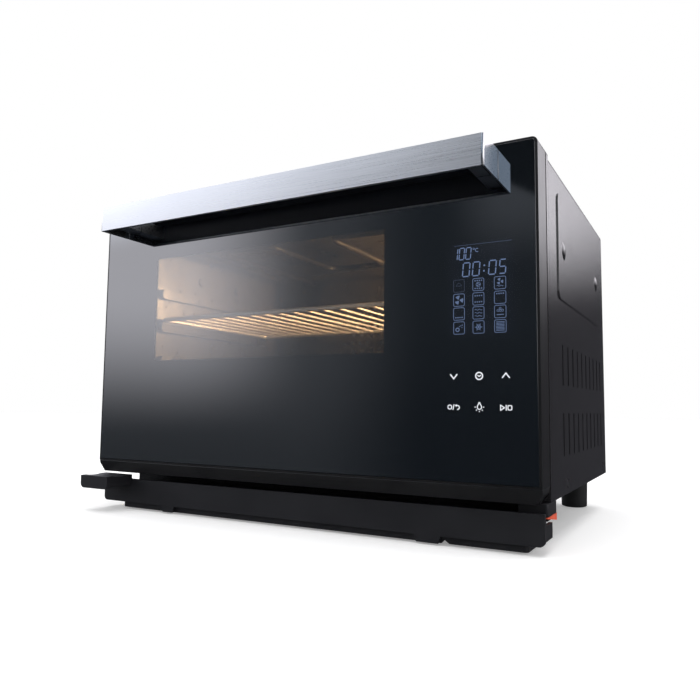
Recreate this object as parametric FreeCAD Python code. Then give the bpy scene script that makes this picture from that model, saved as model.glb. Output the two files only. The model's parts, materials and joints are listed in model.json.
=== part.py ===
import FreeCAD, Part
import math
import os

os.makedirs("parts", exist_ok=True)

# Countertop steam and toaster oven with a full-width glass door, in millimetres.
# While modelling, x runs right, y runs back from the door glass and z runs up from the feet.
# Saving moves every piece so that y = 0 is halfway between the handle and the rear.

# ---- driving sizes
bodyWidth = 515.0
bodyHeight = 350.0       # feet to the top of the door
bodyDepth = 350.0        # door glass to the rear screw heads
handleReach = 40.8       # glass to the front of the handle
cavitySide = 42.5        # left side of the oven to the cavity
serviceWidth = 102.5     # cavity to the right side of the oven
cavityFloor = 106.0
fanSpace = 46.0          # cavity rear wall to the rear of the casing
footHeight = 43.0

# ---- thicknesses and fits
sheet = 1.0
screwHole = 1.6
pipeRadius = 4.0
seat = 0.3               # gap left between pieces that rest on each other
runFit = 0.08            # radial clearance of a turning or sliding fit
screwHead = 1.8

# ---- places derived from the driving sizes
halfWidth = bodyWidth / 2
casingTop = bodyHeight - 3.8
casingBottom = footHeight - sheet
casingFront = 39.0
casingRear = bodyDepth - screwHead
panelRear = casingRear - sheet - seat
panelFront = panelRear - sheet
panX = halfWidth - 2.4
panTop = footHeight + 1.2
frameFront = 31.5
frameBack = casingFront - seat
framePlateBack = frameFront + 1.5
doorBottom = footHeight - seat
doorFrameBottom = footHeight + 12.6
doorFrameBack = 28.6
doorHeight = bodyHeight - doorBottom
glassThickness = 4.0
hingeY = 10.0
hingeZ = footHeight + 19.0
hingeX = halfWidth - 14.5
hingeEye = 4.5
pinRadius = 2.0
cavityLeft = -halfWidth + cavitySide
cavityRight = halfWidth - serviceWidth
cavityTop = bodyHeight - 28.0
cavityRear = casingRear - fanSpace
cavityMiddle = (cavityLeft + cavityRight) / 2
cavityHeight = cavityTop - cavityFloor
cavityMouth = framePlateBack + 0.2
railReach = 7.0
railHeight = 12.0
railTops = [cavityFloor + cavityHeight * share for share in (0.157, 0.347, 0.537, 0.727)]
rackLevel = 2
fanZ = cavityFloor + 105.0
coverFront = cavityRear - 31.0
serviceLeft = cavityRight + 11.0
handleHalf = halfWidth - 33.7
handleTop = bodyHeight - 6.3
handleBottom = handleTop - 27.2
standoffX = handleHalf - 9.5
standoffZ = (handleTop + handleBottom) / 2
lampY = cavityRear - 77.0
lampZ = cavityTop - 37.0
lampRadius = 20.0
tankLeft = serviceLeft + 2.5
tankRight = tankLeft + 65.0
tankFloor = cavityTop - 87.6
tankHeight = 84.0
tankBack = lampY - 35.0
pumpY = tankBack + 35.0
boilerWidth = serviceWidth - 48.5
pumpLength = boilerWidth - 14.0
pumpSpoutX = serviceLeft + boilerWidth / 2 - 1.0
boilerFront = 62.0
boilerBack = tankBack - 28.0
boilerTop = footHeight + 48.0
steamY = boilerBack - 6.0
steamZ = (railTops[0] + railTops[1] - railHeight) / 2
fasciaFront = 9.6
fasciaBack = 14.0
fasciaTop = 34.8
fasciaBottom = 8.3
trayFloor = 6.0
trayTop = 23.5
trayBack = 58.0
trayX = (-230.0, halfWidth - 15.5)
skirtLow = 1.8           # lowest edge of the tray, just clear of the worktop
armX = (152.0, 180.0)
armZ = (19.0, 22.0)
armReach = 117.0         # length of the tray's arms behind its trough
lipY = 61.0              # front lip of the base pan, just behind the tray
footX = halfWidth - 35.5
footPlaces = [(side * footX, y) for side in (-1, 1) for y in (95.0, bodyDepth - 22.0)]
coolX = halfWidth - 50.0
coolZ = footHeight + 60.0
plugZ = 28.6
plugY = 44.0
plugStem = 2.0
plugPlate = 3.6
blockFloor = 31.2
blockY = (19.5, 54.0)

saveShift = FreeCAD.Vector(0, -(bodyDepth - handleReach) / 2, 0)


# ---- helpers
def vec(x, y, z):
    return FreeCAD.Vector(x, y, z)


def block(xs, ys, zs):
    return Part.makeBox(xs[1] - xs[0], ys[1] - ys[0], zs[1] - zs[0], vec(xs[0], ys[0], zs[0]))


def rod(radius, start, end):
    along = vec(*end) - vec(*start)
    return Part.makeCylinder(radius, along.Length, vec(*start), along)


def joined(shapes):
    whole = shapes[0].multiFuse(shapes[1:])
    return whole.removeSplitter()


def group(shapes):
    return Part.makeCompound(shapes)


def edgesAlong(shape, axis):
    picked = []
    for edge in shape.Edges:
        span = edge.Vertexes[-1].Point - edge.Vertexes[0].Point
        if span.Length > 0 and abs(span.dot(axis)) > 0.999 * span.Length:
            picked.append(edge)
    return picked


def softBlock(xs, ys, zs, radius, axis):
    """A block whose four edges along one axis are rounded."""
    plain = block(xs, ys, zs)
    return plain.makeFillet(radius, edgesAlong(plain, axis))


alongX = FreeCAD.Vector(1, 0, 0)
alongY = FreeCAD.Vector(0, 1, 0)
alongZ = FreeCAD.Vector(0, 0, 1)


def topRounded(xs, ys, zs, radius):
    """A block with only its two upper edges along y rounded."""
    plain = block(xs, ys, zs)
    upper = [edge for edge in edgesAlong(plain, alongY) if edge.CenterOfMass.z > sum(zs) / 2]
    return plain.makeFillet(radius, upper)


def mirrored(shape):
    return shape.mirror(vec(0, 0, 0), alongX)


def bothSides(shape):
    return [shape, mirrored(shape)]


def prismX(points, xs):
    """Extrude a polygon of (y, z) points from one x to another."""
    loop = [vec(xs[0], y, z) for y, z in points]
    face = Part.Face(Part.makePolygon(loop + loop[:1]))
    return face.extrude(vec(xs[1] - xs[0], 0, 0))


def prismY(points, ys):
    """Extrude a polygon of (x, z) points from one y to another."""
    loop = [vec(x, ys[0], z) for x, z in points]
    face = Part.Face(Part.makePolygon(loop + loop[:1]))
    return face.extrude(vec(0, ys[1] - ys[0], 0))


def bentTube(points, radius, bend):
    """A round bar along straight runs joined by bends."""
    places = [vec(*point) for point in points]
    edges = []
    start = places[0]
    for before, corner, after in zip(places, places[1:], places[2:]):
        arriving = (corner - before).normalize()
        leaving = (after - corner).normalize()
        half = arriving.getAngle(leaving) / 2
        trim = bend * math.tan(half)
        inward = (leaving - arriving).normalize()
        middle = corner + inward * (bend / math.cos(half) - bend)
        arcStart = corner - arriving * trim
        arcEnd = corner + leaving * trim
        edges.append(Part.makeLine(start, arcStart))
        edges.append(Part.Arc(arcStart, middle, arcEnd).toShape())
        start = arcEnd
    edges.append(Part.makeLine(start, places[-1]))
    profile = Part.Wire([Part.makeCircle(radius, places[0], places[1] - places[0])])
    return Part.Wire(edges).makePipeShell([profile], True, True)


def crossRecess(centre, along):
    """Two crossed slots that cut a screw head's driver recess."""
    armHalf = 2.2
    slotHalf = 0.4
    depth = 0.6
    cutters = []
    for first, second in ((armHalf, slotHalf), (slotHalf, armHalf)):
        low = centre - alongZ * second - along * depth
        high = centre + alongZ * second + along
        across = alongZ.cross(along)
        corners = [low - across * first, high + across * first]
        xs, ys, zs = [sorted(pair) for pair in zip(*corners)]
        cutters.append(block(xs, ys, zs))
    return cutters


def slotRow(xs, yFirst, yLast, count, width, zs):
    """Upright round-ended slots spread evenly along y."""
    pitch = (yLast - yFirst) / (count - 1)
    slots = []
    for index in range(count):
        y = yFirst + index * pitch
        slots.append(softBlock(xs, (y - width / 2, y + width / 2), zs, width * 0.45, alongX))
    return slots


def holeRings(centre, rings, radius, ys):
    """Round holes on circles about one centre, each circle given as its radius and its count."""
    cutters = []
    for ringRadius, count in rings:
        for index in range(count):
            turn = 2 * math.pi * index / count
            x = centre[0] + ringRadius * math.cos(turn)
            z = centre[1] + ringRadius * math.sin(turn)
            cutters.append(rod(radius, (x, ys[0], z), (x, ys[1], z)))
    return cutters


def save(name, shape):
    moved = shape.copy()
    moved.translate(saveShift)
    moved.exportStep("parts/" + name + ".step")


# ---- casing
panelStep = 1.2
screwPlaces = [(66.0 + casingFront, footHeight + 8.5), (bodyDepth - 30.0, footHeight + 9.5)]


def pressedBump(face, y, z):
    """A shallow dome that stands out of a pressed face, and the hollow behind it."""
    radius = 9.0
    rise = 1.5
    curve = (radius ** 2 + rise ** 2) / (2 * rise)
    centre = vec(face + rise - curve, y, z)
    aroundY = (y - radius - 1, y + radius + 1)
    aroundZ = (z - radius - 1, z + radius + 1)
    domeSide = block((face - sheet / 2, face + rise + 1), aroundY, aroundZ)
    hollowSide = block((face - 2 * sheet, face + rise), aroundY, aroundZ)
    dome = Part.makeSphere(curve, centre).common(domeSide)
    hollow = Part.makeSphere(curve - sheet, centre).common(hollowSide)
    return dome, hollow


def stampedSide():
    """The raised pad with two domes and the sunk screw seats of the casing's right wall."""
    ys = (casingFront + 34.4, bodyDepth - 42.0)
    zs = (casingTop - 124.0, casingTop - 22.5)
    corner = 8.0
    bevel = 0.9
    face = halfWidth + panelStep
    pad = softBlock((halfWidth - sheet, face), ys, zs, corner, alongX)
    pad = pad.makeChamfer(bevel, [edge for edge in pad.Edges if edge.BoundBox.XMin > face - bevel])
    hollowY = (ys[0] + sheet, ys[1] - sheet)
    hollowZ = (zs[0] + sheet, zs[1] - sheet)
    hollow = softBlock((halfWidth - 2 * sheet, face - sheet), hollowY, hollowZ, corner - sheet, alongX)
    pads = [pad]
    hollows = [hollow]
    for y in (ys[0] + 24.0, ys[1] - 19.5):
        dome, domeHollow = pressedBump(face, y, zs[1] - 52.0)
        pads.append(dome)
        hollows.append(domeHollow)
    seatRadius = 5.0
    for y, z in screwPlaces:
        pads.append(rod(seatRadius + sheet, (halfWidth - 2 * sheet, y, z), (halfWidth - sheet, y, z)))
        hollows.append(rod(seatRadius, (halfWidth - sheet, y, z), (halfWidth + 1, y, z)))
    return pads, hollows


def casingVents():
    width = 5.0
    xs = (halfWidth - 5.0, halfWidth + 1.0)
    firstY = casingFront + 51.2
    lastY = bodyDepth - 35.3
    perRow = 10
    lower = slotRow(xs, firstY, lastY, perRow, width, (footHeight + 34.0, footHeight + 74.2))
    upper = slotRow(xs, firstY, lastY, perRow, width, (footHeight + 99.6, footHeight + 137.8))
    return lower + upper


def casingShell():
    corner = 6.0
    flange = 12.0
    ys = (casingFront, casingRear)
    outer = topRounded((-halfWidth, halfWidth), ys, (casingBottom, casingTop), corner)
    innerX = halfWidth - sheet
    innerZ = (casingBottom - 1, casingTop - sheet)
    inner = topRounded((-innerX, innerX), (ys[0] - 1, ys[1] - sheet), innerZ, corner - sheet)
    mouthX = innerX - flange
    mouthZ = (innerZ[0], innerZ[1] - flange)
    mouth = block((-mouthX, mouthX), (ys[1] - 2 * sheet, ys[1] + 1), mouthZ)
    shell = outer.cut(inner).cut(mouth)
    pads, hollows = stampedSide()
    extra = []
    removed = []
    for pad in pads:
        extra += bothSides(pad)
    for cutter in hollows + casingVents() + sideScrewHoles():
        removed += bothSides(cutter)
    return shell.multiFuse(extra).cut(removed + rearScrewHoles())


def sideScrewHoles():
    radius = 1.7
    return [rod(radius, (panX - 5, y, z), (halfWidth + 1, y, z)) for y, z in screwPlaces]


def casingScrews():
    headRadius = 4.0
    shankRadius = 1.5
    headX = (halfWidth - sheet + 0.05, halfWidth - 0.1)
    screws = []
    for y, z in screwPlaces:
        head = rod(headRadius, (headX[0], y, z), (headX[1], y, z))
        shank = rod(shankRadius, (panX - 6.0, y, z), (headX[0], y, z))
        screws += bothSides(joined([head, shank]).cut(crossRecess(vec(headX[1], y, z), alongX)))
    return group(screws)


def rearScrewPlaces():
    inset = 7.0
    top = casingTop - inset
    across = [-halfWidth * share for share in (0.85, 0.3, -0.3, -0.85)]
    places = [(x, top) for x in across]
    for z in (footHeight + 40.0, (footHeight + casingTop) / 2):
        places += [(halfWidth - inset, z), (-halfWidth + inset, z)]
    return places


def rearScrewHoles():
    ys = (panelFront - 1, casingRear + 1)
    return [rod(screwHole, (x, ys[0], z), (x, ys[1], z)) for x, z in rearScrewPlaces()]


def rearScrews():
    headRadius = 3.5
    shankRadius = 1.4
    screws = []
    for x, z in rearScrewPlaces():
        head = rod(headRadius, (x, casingRear, z), (x, bodyDepth, z))
        shank = rod(shankRadius, (x, panelFront - 5.0, z), (x, casingRear, z))
        screws.append(joined([head, shank]).cut(crossRecess(vec(x, bodyDepth, z), alongY)))
    return group(screws)


glandX = -halfWidth + 57.0
glandZ = footHeight + 30.0
glandRadius = 7.0


def rearPanel():
    edge = halfWidth - sheet - seat
    zs = (footHeight, casingTop - sheet - seat)
    plate = topRounded((-edge, edge), (panelFront, panelRear), zs, 4.0)
    through = (panelFront - 1, panelRear + 1)
    cutters = rearScrewHoles()
    cutters.append(rod(glandRadius + runFit, (glandX, through[0], glandZ), (glandX, through[1], glandZ)))
    slotWidth = 4.0
    slotPitch = 9.0
    slotLength = 60.0
    for row in (0.45, 0.75):
        middle = footHeight + (casingTop - footHeight) * row
        for index in range(-8, 9):
            x = cavityMiddle + index * slotPitch
            zs = (middle - slotLength / 2, middle + slotLength / 2)
            xs = (x - slotWidth / 2, x + slotWidth / 2)
            cutters.append(softBlock(xs, through, zs, slotWidth * 0.45, alongY))
    rings = ((30.0, 14), (22.0, 10), (14.0, 6))
    cutters += holeRings((coolX, coolZ), rings, 2.4, through)
    return plate.cut(cutters)


def basePan():
    front = casingFront
    back = panelFront - seat
    flangeTop = footHeight + 18.0
    floor = block((-panX, panX), (front, back), (footHeight, panTop))
    flange = block((panX - 1.2, panX), (front, back), (footHeight, flangeTop))
    lip = block((-panX, panX), (lipY, lipY + sheet), (trayTop + 1.5, panTop))
    pan = joined([floor, lip] + bothSides(flange))
    through = (footHeight - 1, panTop + 1)
    footHole = 2.3
    drainHole = 5.0
    cutters = [rod(footHole, (x, y, through[0]), (x, y, through[1])) for x, y in footPlaces]
    for hole in sideScrewHoles():
        cutters += bothSides(hole)
    drainX, drainY = drainPlace()
    cutters.append(rod(drainHole, (drainX, drainY, through[0]), (drainX, drainY, through[1])))
    slotWidth = 5.0
    slotHalf = 30.0
    slotPitch = 14.0
    middleY = (front + back) / 2 + 50.0
    slotY = (middleY - slotHalf, middleY + slotHalf)
    for index in range(-9, 10):
        x = cavityMiddle + index * slotPitch
        xs = (x - slotWidth / 2, x + slotWidth / 2)
        cutters.append(softBlock(xs, slotY, through, slotWidth * 0.45, alongZ))
    return pan.cut(cutters)


def feet():
    topRadius = 16.5
    bottomRadius = 15.0
    bottom = 0.8
    padPocket = 2.2
    padRadius = 12.2
    boreRadius = 2.1
    boreDepth = 22.0
    made = []
    for x, y in footPlaces:
        cone = Part.makeCone(bottomRadius, topRadius, footHeight - bottom, vec(x, y, bottom))
        rims = [edge for edge in cone.Edges if edge.Closed and edge.CenterOfMass.z < bottom + 1]
        soft = cone.makeFillet(1.2, rims)
        recess = rod(padRadius, (x, y, 0), (x, y, padPocket))
        bore = rod(boreRadius, (x, y, footHeight - boreDepth), (x, y, footHeight + 1))
        made.append(soft.cut([recess, bore]))
    return group(made)


def footPads():
    radius = 12.0
    height = 2.1
    return group([rod(radius, (x, y, 0), (x, y, height)) for x, y in footPlaces])


# ---- front frame and cavity
def frontFrame():
    corner = 5.0
    rim = 1.6
    zs = (casingBottom, bodyHeight)
    outer = topRounded((-halfWidth, halfWidth), (frameFront, frameBack), zs, corner)
    pocketX = halfWidth - rim
    pocketZ = (zs[0] + rim, zs[1] - rim)
    pocket = topRounded((-pocketX, pocketX), (framePlateBack, frameBack + 1), pocketZ, corner - rim)
    through = (frameFront - 1, frameBack + 1)
    mouth = softBlock((cavityLeft, cavityRight), through, (cavityFloor, cavityTop), 6.0, alongY)
    tankSlot = block((tankLeft - 2.6, tankRight + 2.6), through, (tankFloor - 0.6, tankFloor + 86.6))
    lugSlot = block((hingeX - 3.0, hingeX + 3.0), through, (hingeZ - 6.0, hingeZ + 6.0))
    cutters = [pocket, mouth, tankSlot] + bothSides(lugSlot)
    slotCount = 15
    slotHalf = 7.0
    slotPitch = 20.0
    slotZ = (cavityFloor - 20.0, cavityFloor - 14.0)
    for index in range(slotCount):
        x = cavityMiddle + (index - (slotCount - 1) / 2) * slotPitch
        cutters.append(block((x - slotHalf, x + slotHalf), through, slotZ))
    return outer.cut(cutters)


def stampedRail(railTop):
    """A shelf rail pressed out of the left wall, and the hollow behind it."""
    ys = (cavityMouth + 14.0, coverFront - 8.0)
    zs = (railTop - railHeight, railTop)
    wall = cavityLeft
    ridge = softBlock((wall - sheet / 2, wall + railReach), ys, zs, 5.0, alongX)
    hollowY = (ys[0] + sheet, ys[1] - sheet)
    hollowZ = (zs[0] + sheet, zs[1] - sheet)
    hollow = softBlock((wall - sheet - 1, wall + railReach - sheet), hollowY, hollowZ, 4.0, alongX)
    return ridge, hollow


def aboutCavity(shape):
    """Mirror a left-hand feature onto the right wall of the cavity."""
    return shape.mirror(vec(cavityMiddle, 0, 0), alongX)


def cavityLiner():
    outerX = (cavityLeft - sheet, cavityRight + sheet)
    outerZ = (cavityFloor - sheet, cavityTop + sheet)
    outer = softBlock(outerX, (cavityMouth, cavityRear + sheet), outerZ, 7.0, alongY)
    hollowY = (cavityMouth - 1, cavityRear)
    inner = softBlock((cavityLeft, cavityRight), hollowY, (cavityFloor, cavityTop), 6.0, alongY)
    lip = 8.0
    flangeX = (cavityLeft - lip, cavityRight + lip)
    flange = block(flangeX, (cavityMouth, cavityMouth + sheet), (cavityFloor - lip, cavityTop + lip))
    shell = outer.fuse(flange).cut(inner)
    added = []
    removed = []
    for railTop in railTops:
        ridge, hollow = stampedRail(railTop)
        added += [ridge, aboutCavity(ridge)]
        removed += [hollow, aboutCavity(hollow)]
    bossRadius = 6.0
    bossReach = 2.5
    for y in (90.0, 165.0):
        place = (cavityLeft - sheet / 2, cavityMouth + y, cavityTop - 38.0)
        added.append(rod(bossRadius, place, (cavityLeft + bossReach, place[1], place[2])))
    rearHoles = [((cavityMiddle, fanZ), 8.0)]
    rearHoles += [(place, heaterRadius + 0.5) for place in heaterEnds() + ringEnds() + [probePlace()]]
    rearHoles += [(place, screwHole) for place in coverScrewPlaces()]
    for (x, z), radius in rearHoles:
        removed.append(rod(radius, (x, cavityRear - 2, z), (x, cavityRear + 5, z)))
    for y, z, radius in ((lampY, lampZ, lampRadius - 2.0), (steamY, steamZ, pipeRadius + 1.4)):
        removed.append(rod(radius, (cavityRight - 1, y, z), (cavityRight + 5, y, z)))
    return shell.multiFuse(added).cut(removed)


def insulationWrap():
    thickness = 8.0
    ys = (cavityMouth + 3.0, cavityRear - 2.0)
    innerX = (cavityLeft - sheet - seat, cavityRight + sheet + seat)
    innerTop = cavityTop + sheet + seat
    outerX = (innerX[0] - thickness, innerX[1] + thickness)
    outer = block(outerX, ys, (cavityFloor, innerTop + thickness))
    inner = softBlock(innerX, (ys[0] - 1, ys[1] + 1), (cavityFloor - 20.0, innerTop), 7.0, alongY)
    side = (cavityRight - 1, cavityRight + 20)
    lampHole = rod(lampRadius + 2.6, (side[0], lampY, lampZ), (side[1], lampY, lampZ))
    steamHole = rod(7.0, (side[0], steamY, steamZ), (side[1], steamY, steamZ))
    return outer.cut([inner, lampHole, steamHole])


def linerSupports():
    """Two bent brackets that carry the rear of the cavity on the base pan."""
    width = 30.0
    foot = 16.0
    thickness = 1.5
    ys = (cavityRear - 40.0, cavityRear - 40.0 + thickness)
    top = cavityFloor - sheet - seat
    made = []
    for x in (cavityLeft + 25.0, cavityRight - 25.0):
        xs = (x - width / 2, x + width / 2)
        web = block(xs, ys, (panTop, top))
        lower = block(xs, (ys[0], ys[0] + foot), (panTop, panTop + thickness))
        upper = block(xs, (ys[0], ys[0] + foot), (top - thickness, top))
        made.append(joined([web, lower, upper]))
    return group(made)


def doorGasket():
    width = 5.0
    gap = 1.5
    ys = (frameFront - 1.3, frameFront)
    innerX = (cavityLeft - gap, cavityRight + gap)
    innerZ = (cavityFloor - gap, cavityTop + gap)
    outerX = (innerX[0] - width, innerX[1] + width)
    outerZ = (innerZ[0] - width, innerZ[1] + width)
    outer = softBlock(outerX, ys, outerZ, 9.0, alongY)
    inner = softBlock(innerX, (ys[0] - 1, ys[1] + 1), innerZ, 6.0, alongY)
    return outer.cut(inner)


# ---- heating, fan and lamp
heaterRadius = 3.3
heaterSpread = 120.0
heaterZ = cavityTop - 14.0
ringMajor = 74.0
ringLegX = 12.0          # legs of the rear heater each side of the middle


def heaterEnds():
    return [(cavityMiddle - heaterSpread, heaterZ), (cavityMiddle + heaterSpread, heaterZ)]


def ringEnds():
    return [(cavityMiddle - ringLegX, fanZ - ringMajor), (cavityMiddle + ringLegX, fanZ - ringMajor)]


def heaterPath(front, back, z, tail):
    inner = heaterSpread / 3
    mid = back - 50.0
    left = cavityMiddle - heaterSpread
    right = cavityMiddle + heaterSpread
    return [(left, tail, z), (left, front, z), (cavityMiddle - inner, front, z), (cavityMiddle - inner, mid, z),
            (cavityMiddle + inner, mid, z), (cavityMiddle + inner, front, z), (right, front, z), (right, tail, z)]


def upperHeater():
    path = heaterPath(cavityMouth + 45.0, coverFront, heaterZ, cavityRear + 14.0)
    return bentTube(path, heaterRadius, 14.0)


def lowerHeater():
    z = cavityFloor - sheet - seat - heaterRadius
    path = heaterPath(cavityMouth + 45.0, cavityRear - 60.0, z, cavityRear - 8.0)
    return bentTube(path, heaterRadius, 14.0)


def rearHeater():
    ringY = coverFront + 14.0
    centre = vec(cavityMiddle, ringY, fanZ)
    legs = [rod(heaterRadius, (x, ringY, z), (x, cavityRear + 14.0, z)) for x, z in ringEnds()]
    loop = Part.makeTorus(ringMajor, heaterRadius, centre, alongY)
    reach = 2 * heaterRadius
    lowest = fanZ - ringMajor
    opening = block((cavityMiddle - ringLegX, cavityMiddle + ringLegX), (ringY - reach, ringY + reach),
                    (lowest - reach, lowest + reach))
    return loop.cut(opening).multiFuse(legs)


coverHalf = 89.0


def coverScrewPlaces():
    inset = coverHalf + 6.0
    return [(cavityMiddle + sx * inset, fanZ + sz * 50.0) for sx in (-1, 1) for sz in (-1, 1)]


def fanCover():
    corner = 16.0
    xs = (cavityMiddle - coverHalf, cavityMiddle + coverHalf)
    zs = (fanZ - coverHalf, fanZ + coverHalf)
    outer = softBlock(xs, (coverFront, cavityRear - seat), zs, corner, alongY)
    innerX = (xs[0] + sheet, xs[1] - sheet)
    innerZ = (zs[0] + sheet, zs[1] - sheet)
    inner = softBlock(innerX, (coverFront + sheet, cavityRear + 1), innerZ, corner - sheet, alongY)
    dish = outer.cut(inner)
    ears = []
    for x, z in coverScrewPlaces():
        ears.append(block((x - 7.5, x + 7.5), (cavityRear - seat - sheet, cavityRear - seat), (z - 8.0, z + 8.0)))
    dish = dish.multiFuse(ears).cut(inner)
    cutters = [rod(screwHole, (x, cavityRear - 5, z), (x, cavityRear + 1, z)) for x, z in coverScrewPlaces()]
    rings = ((12.0, 6), (24.0, 12), (36.0, 18), (48.0, 24))
    cutters += holeRings((cavityMiddle, fanZ), rings, 3.0, (coverFront - 1, coverFront + 2))
    return dish.cut(cutters)


def fanCoverScrews():
    screws = []
    for x, z in coverScrewPlaces():
        headBack = cavityRear - seat - sheet
        head = rod(3.2, (x, headBack - screwHead, z), (x, headBack, z))
        shank = rod(1.4, (x, headBack, z), (x, cavityRear + 5.0, z))
        screws.append(joined([head, shank]))
    return group(screws)


shaftRadius = 3.0


def convectionFan():
    bladeRadius = 56.0
    hubRadius = 10.0
    bladeCount = 10
    front = coverFront + 8.0
    depth = 13.0
    disc = rod(bladeRadius, (cavityMiddle, front + depth, fanZ), (cavityMiddle, front + depth + sheet, fanZ))
    hub = rod(hubRadius, (cavityMiddle, front - 1, fanZ), (cavityMiddle, front + depth, fanZ))
    shaft = rod(shaftRadius, (cavityMiddle, front, fanZ), (cavityMiddle, cavityRear + 30.0, fanZ))
    parts = [disc, hub, shaft]
    for index in range(bladeCount):
        blade = block((cavityMiddle + hubRadius - 1, cavityMiddle + bladeRadius), (front, front + depth),
                      (fanZ - 0.6, fanZ + 0.6))
        blade.rotate(vec(cavityMiddle, 0, fanZ), alongY, 360.0 * index / bladeCount)
        parts.append(blade)
    return joined(parts)


def motorMount():
    front = cavityRear + sheet + seat
    plate = block((cavityMiddle - 38.0, cavityMiddle + 38.0), (front, front + 2.0), (fanZ - 18.0, fanZ + 18.0))
    return plate.cut(rod(9.0, (cavityMiddle, front - 1, fanZ), (cavityMiddle, front + 3, fanZ)))


def fanMotor():
    front = cavityRear + sheet + seat + 2.0 + seat
    length = 33.0
    coreHalf = 25.0
    ys = (front, front + length)
    body = rod(20.0, (cavityMiddle, ys[0], fanZ), (cavityMiddle, ys[1], fanZ))
    core = softBlock((cavityMiddle - coreHalf, cavityMiddle + coreHalf), (ys[0] + 6, ys[1] - 8),
                     (fanZ - coreHalf, fanZ + coreHalf), 4.0, alongY)
    coil = softBlock((cavityMiddle - 14.0, cavityMiddle + 14.0), (ys[0] + 3, ys[1] - 5),
                     (fanZ - coreHalf - 20.0, fanZ - coreHalf + 1), 3.0, alongY)
    bore = rod(shaftRadius + runFit, (cavityMiddle, ys[0] - 1, fanZ), (cavityMiddle, cavityRear + 31.0, fanZ))
    return joined([body, core, coil]).cut(bore)


def lampLens():
    dome = Part.makeSphere(30.0, vec(cavityRight + 22.0, lampY, lampZ))
    keep = rod(lampRadius - 3.0, (cavityRight - 7.0, lampY, lampZ), (cavityRight + 2.0, lampY, lampZ))
    hollow = Part.makeSphere(28.2, vec(cavityRight + 22.0, lampY, lampZ))
    skirt = rod(lampRadius - 3.0, (cavityRight + 0.5, lampY, lampZ), (cavityRight + 4.0, lampY, lampZ))
    inside = rod(lampRadius - 5.0, (cavityRight - 9.0, lampY, lampZ), (cavityRight + 5.0, lampY, lampZ))
    bowl = dome.common(keep).cut(hollow)
    return bowl.fuse(skirt.cut(inside)).removeSplitter()


def lampHousing():
    left = cavityRight + sheet + seat
    right = left + 30.0
    cup = rod(lampRadius + 2.0, (left, lampY, lampZ), (right, lampY, lampZ))
    inside = rod(lampRadius - 2.6, (left - 1, lampY, lampZ), (right - 3.0, lampY, lampZ))
    return cup.cut(inside)


def lampBulb():
    """Round glass on a straight neck, turned from one profile."""
    glassRadius = 7.5
    neckRadius = 5.5
    right = cavityRight + sheet + 27.0
    middle = right - 15.0
    neckStart = middle + math.sqrt(glassRadius ** 2 - neckRadius ** 2)

    def at(x, radius):
        return vec(x, lampY, lampZ + radius)

    tip = at(middle - glassRadius, 0)
    dome = Part.Arc(tip, at(middle, glassRadius), at(neckStart, neckRadius)).toShape()
    straight = [at(neckStart, neckRadius), at(right, neckRadius), at(right, 0), tip]
    profile = Part.Face(Part.Wire([dome] + Part.makePolygon(straight).Edges))
    return profile.revolve(tip, alongX, 360)


def probePlace():
    return (cavityMiddle + 145.0, cavityTop - 30.0)


def temperatureProbe():
    x, z = probePlace()
    stem = rod(2.5, (x, cavityRear - 45.0, z), (x, cavityRear + 8.0, z))
    collar = rod(6.0, (x, cavityRear + sheet + 0.1, z), (x, cavityRear + 4.0, z))
    return joined([stem, collar])


# ---- rack
def wireRack():
    frameRadius = 2.5
    wireRadius = 1.1
    sideGap = 4.0
    z = railTops[rackLevel] + frameRadius + 0.2
    left = cavityLeft + sideGap
    right = cavityRight - sideGap
    front = cavityMouth + 17.0
    back = coverFront - 9.0
    start = (cavityMiddle, front, z)
    corners = [(left, front, z), (left, back, z), (right, back, z), (right, front, z)]
    bars = [bentTube([start] + corners + [start], frameRadius, 8.0)]
    wireCount = 17
    pitch = (right - left) / (wireCount + 1)
    for index in range(wireCount):
        x = left + pitch * (index + 1)
        bars.append(rod(wireRadius, (x, front, z + 1.0), (x, back, z + 1.0)))
    return bars[0].multiFuse(bars[1:])


# ---- steam supply and electronics
def steamGenerator():
    xs = (serviceLeft + 2.0, serviceLeft + boilerWidth)
    ys = (boilerFront, boilerBack)
    zs = (footHeight + 8.0, boilerTop)
    body = softBlock(xs, ys, zs, 6.0, alongZ)
    leg = 8.0
    inset = 6.0
    legs = []
    for x in (xs[0] + inset, xs[1] - inset - leg):
        for y in (ys[0] + inset, ys[1] - inset - leg):
            legs.append(block((x, x + leg), (y, y + leg), (panTop, zs[0] + 1)))
    finCount = 7
    finWidth = 3.0
    finPitch = (ys[1] - ys[0] - 4 * inset) / finCount
    fins = []
    for index in range(finCount):
        y = ys[0] + 2 * inset + index * finPitch
        fins.append(block((xs[0] + inset, xs[1] - inset), (y, y + finWidth), (zs[1] - 1, zs[1] + 5.0)))
    return joined([body] + legs + fins)


def steamPipe():
    """From the top of the steam generator to the nozzle in the cavity wall."""
    x = serviceLeft + 12.0
    path = [(x, steamY, boilerTop + seat), (x, steamY, steamZ), (cavityRight - 3.0, steamY, steamZ)]
    return bentTube(path, pipeRadius, 6.0)


def waterPump():
    xs = (serviceLeft + 6.0, serviceLeft + 6.0 + pumpLength)
    y = pumpY
    z = footHeight + 28.0
    body = rod(16.0, (xs[0], y, z), (xs[1], y, z))
    cradle = block((xs[0] + 6, xs[1] - 6), (y - 14.0, y + 14.0), (panTop, z))
    spout = rod(4.0, (pumpSpoutX, y, z), (pumpSpoutX, y, z + 24.0))
    return joined([body, cradle, spout])


def waterHose():
    x = pumpSpoutX
    y = pumpY
    low = footHeight + 28.0 + 24.0 + seat
    inlet = tankFloor + 12.0
    path = [(x, y, low), (x, y, inlet), (x, tankBack + 0.5, inlet)]
    return bentTube(path, pipeRadius, 9.0)


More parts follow.
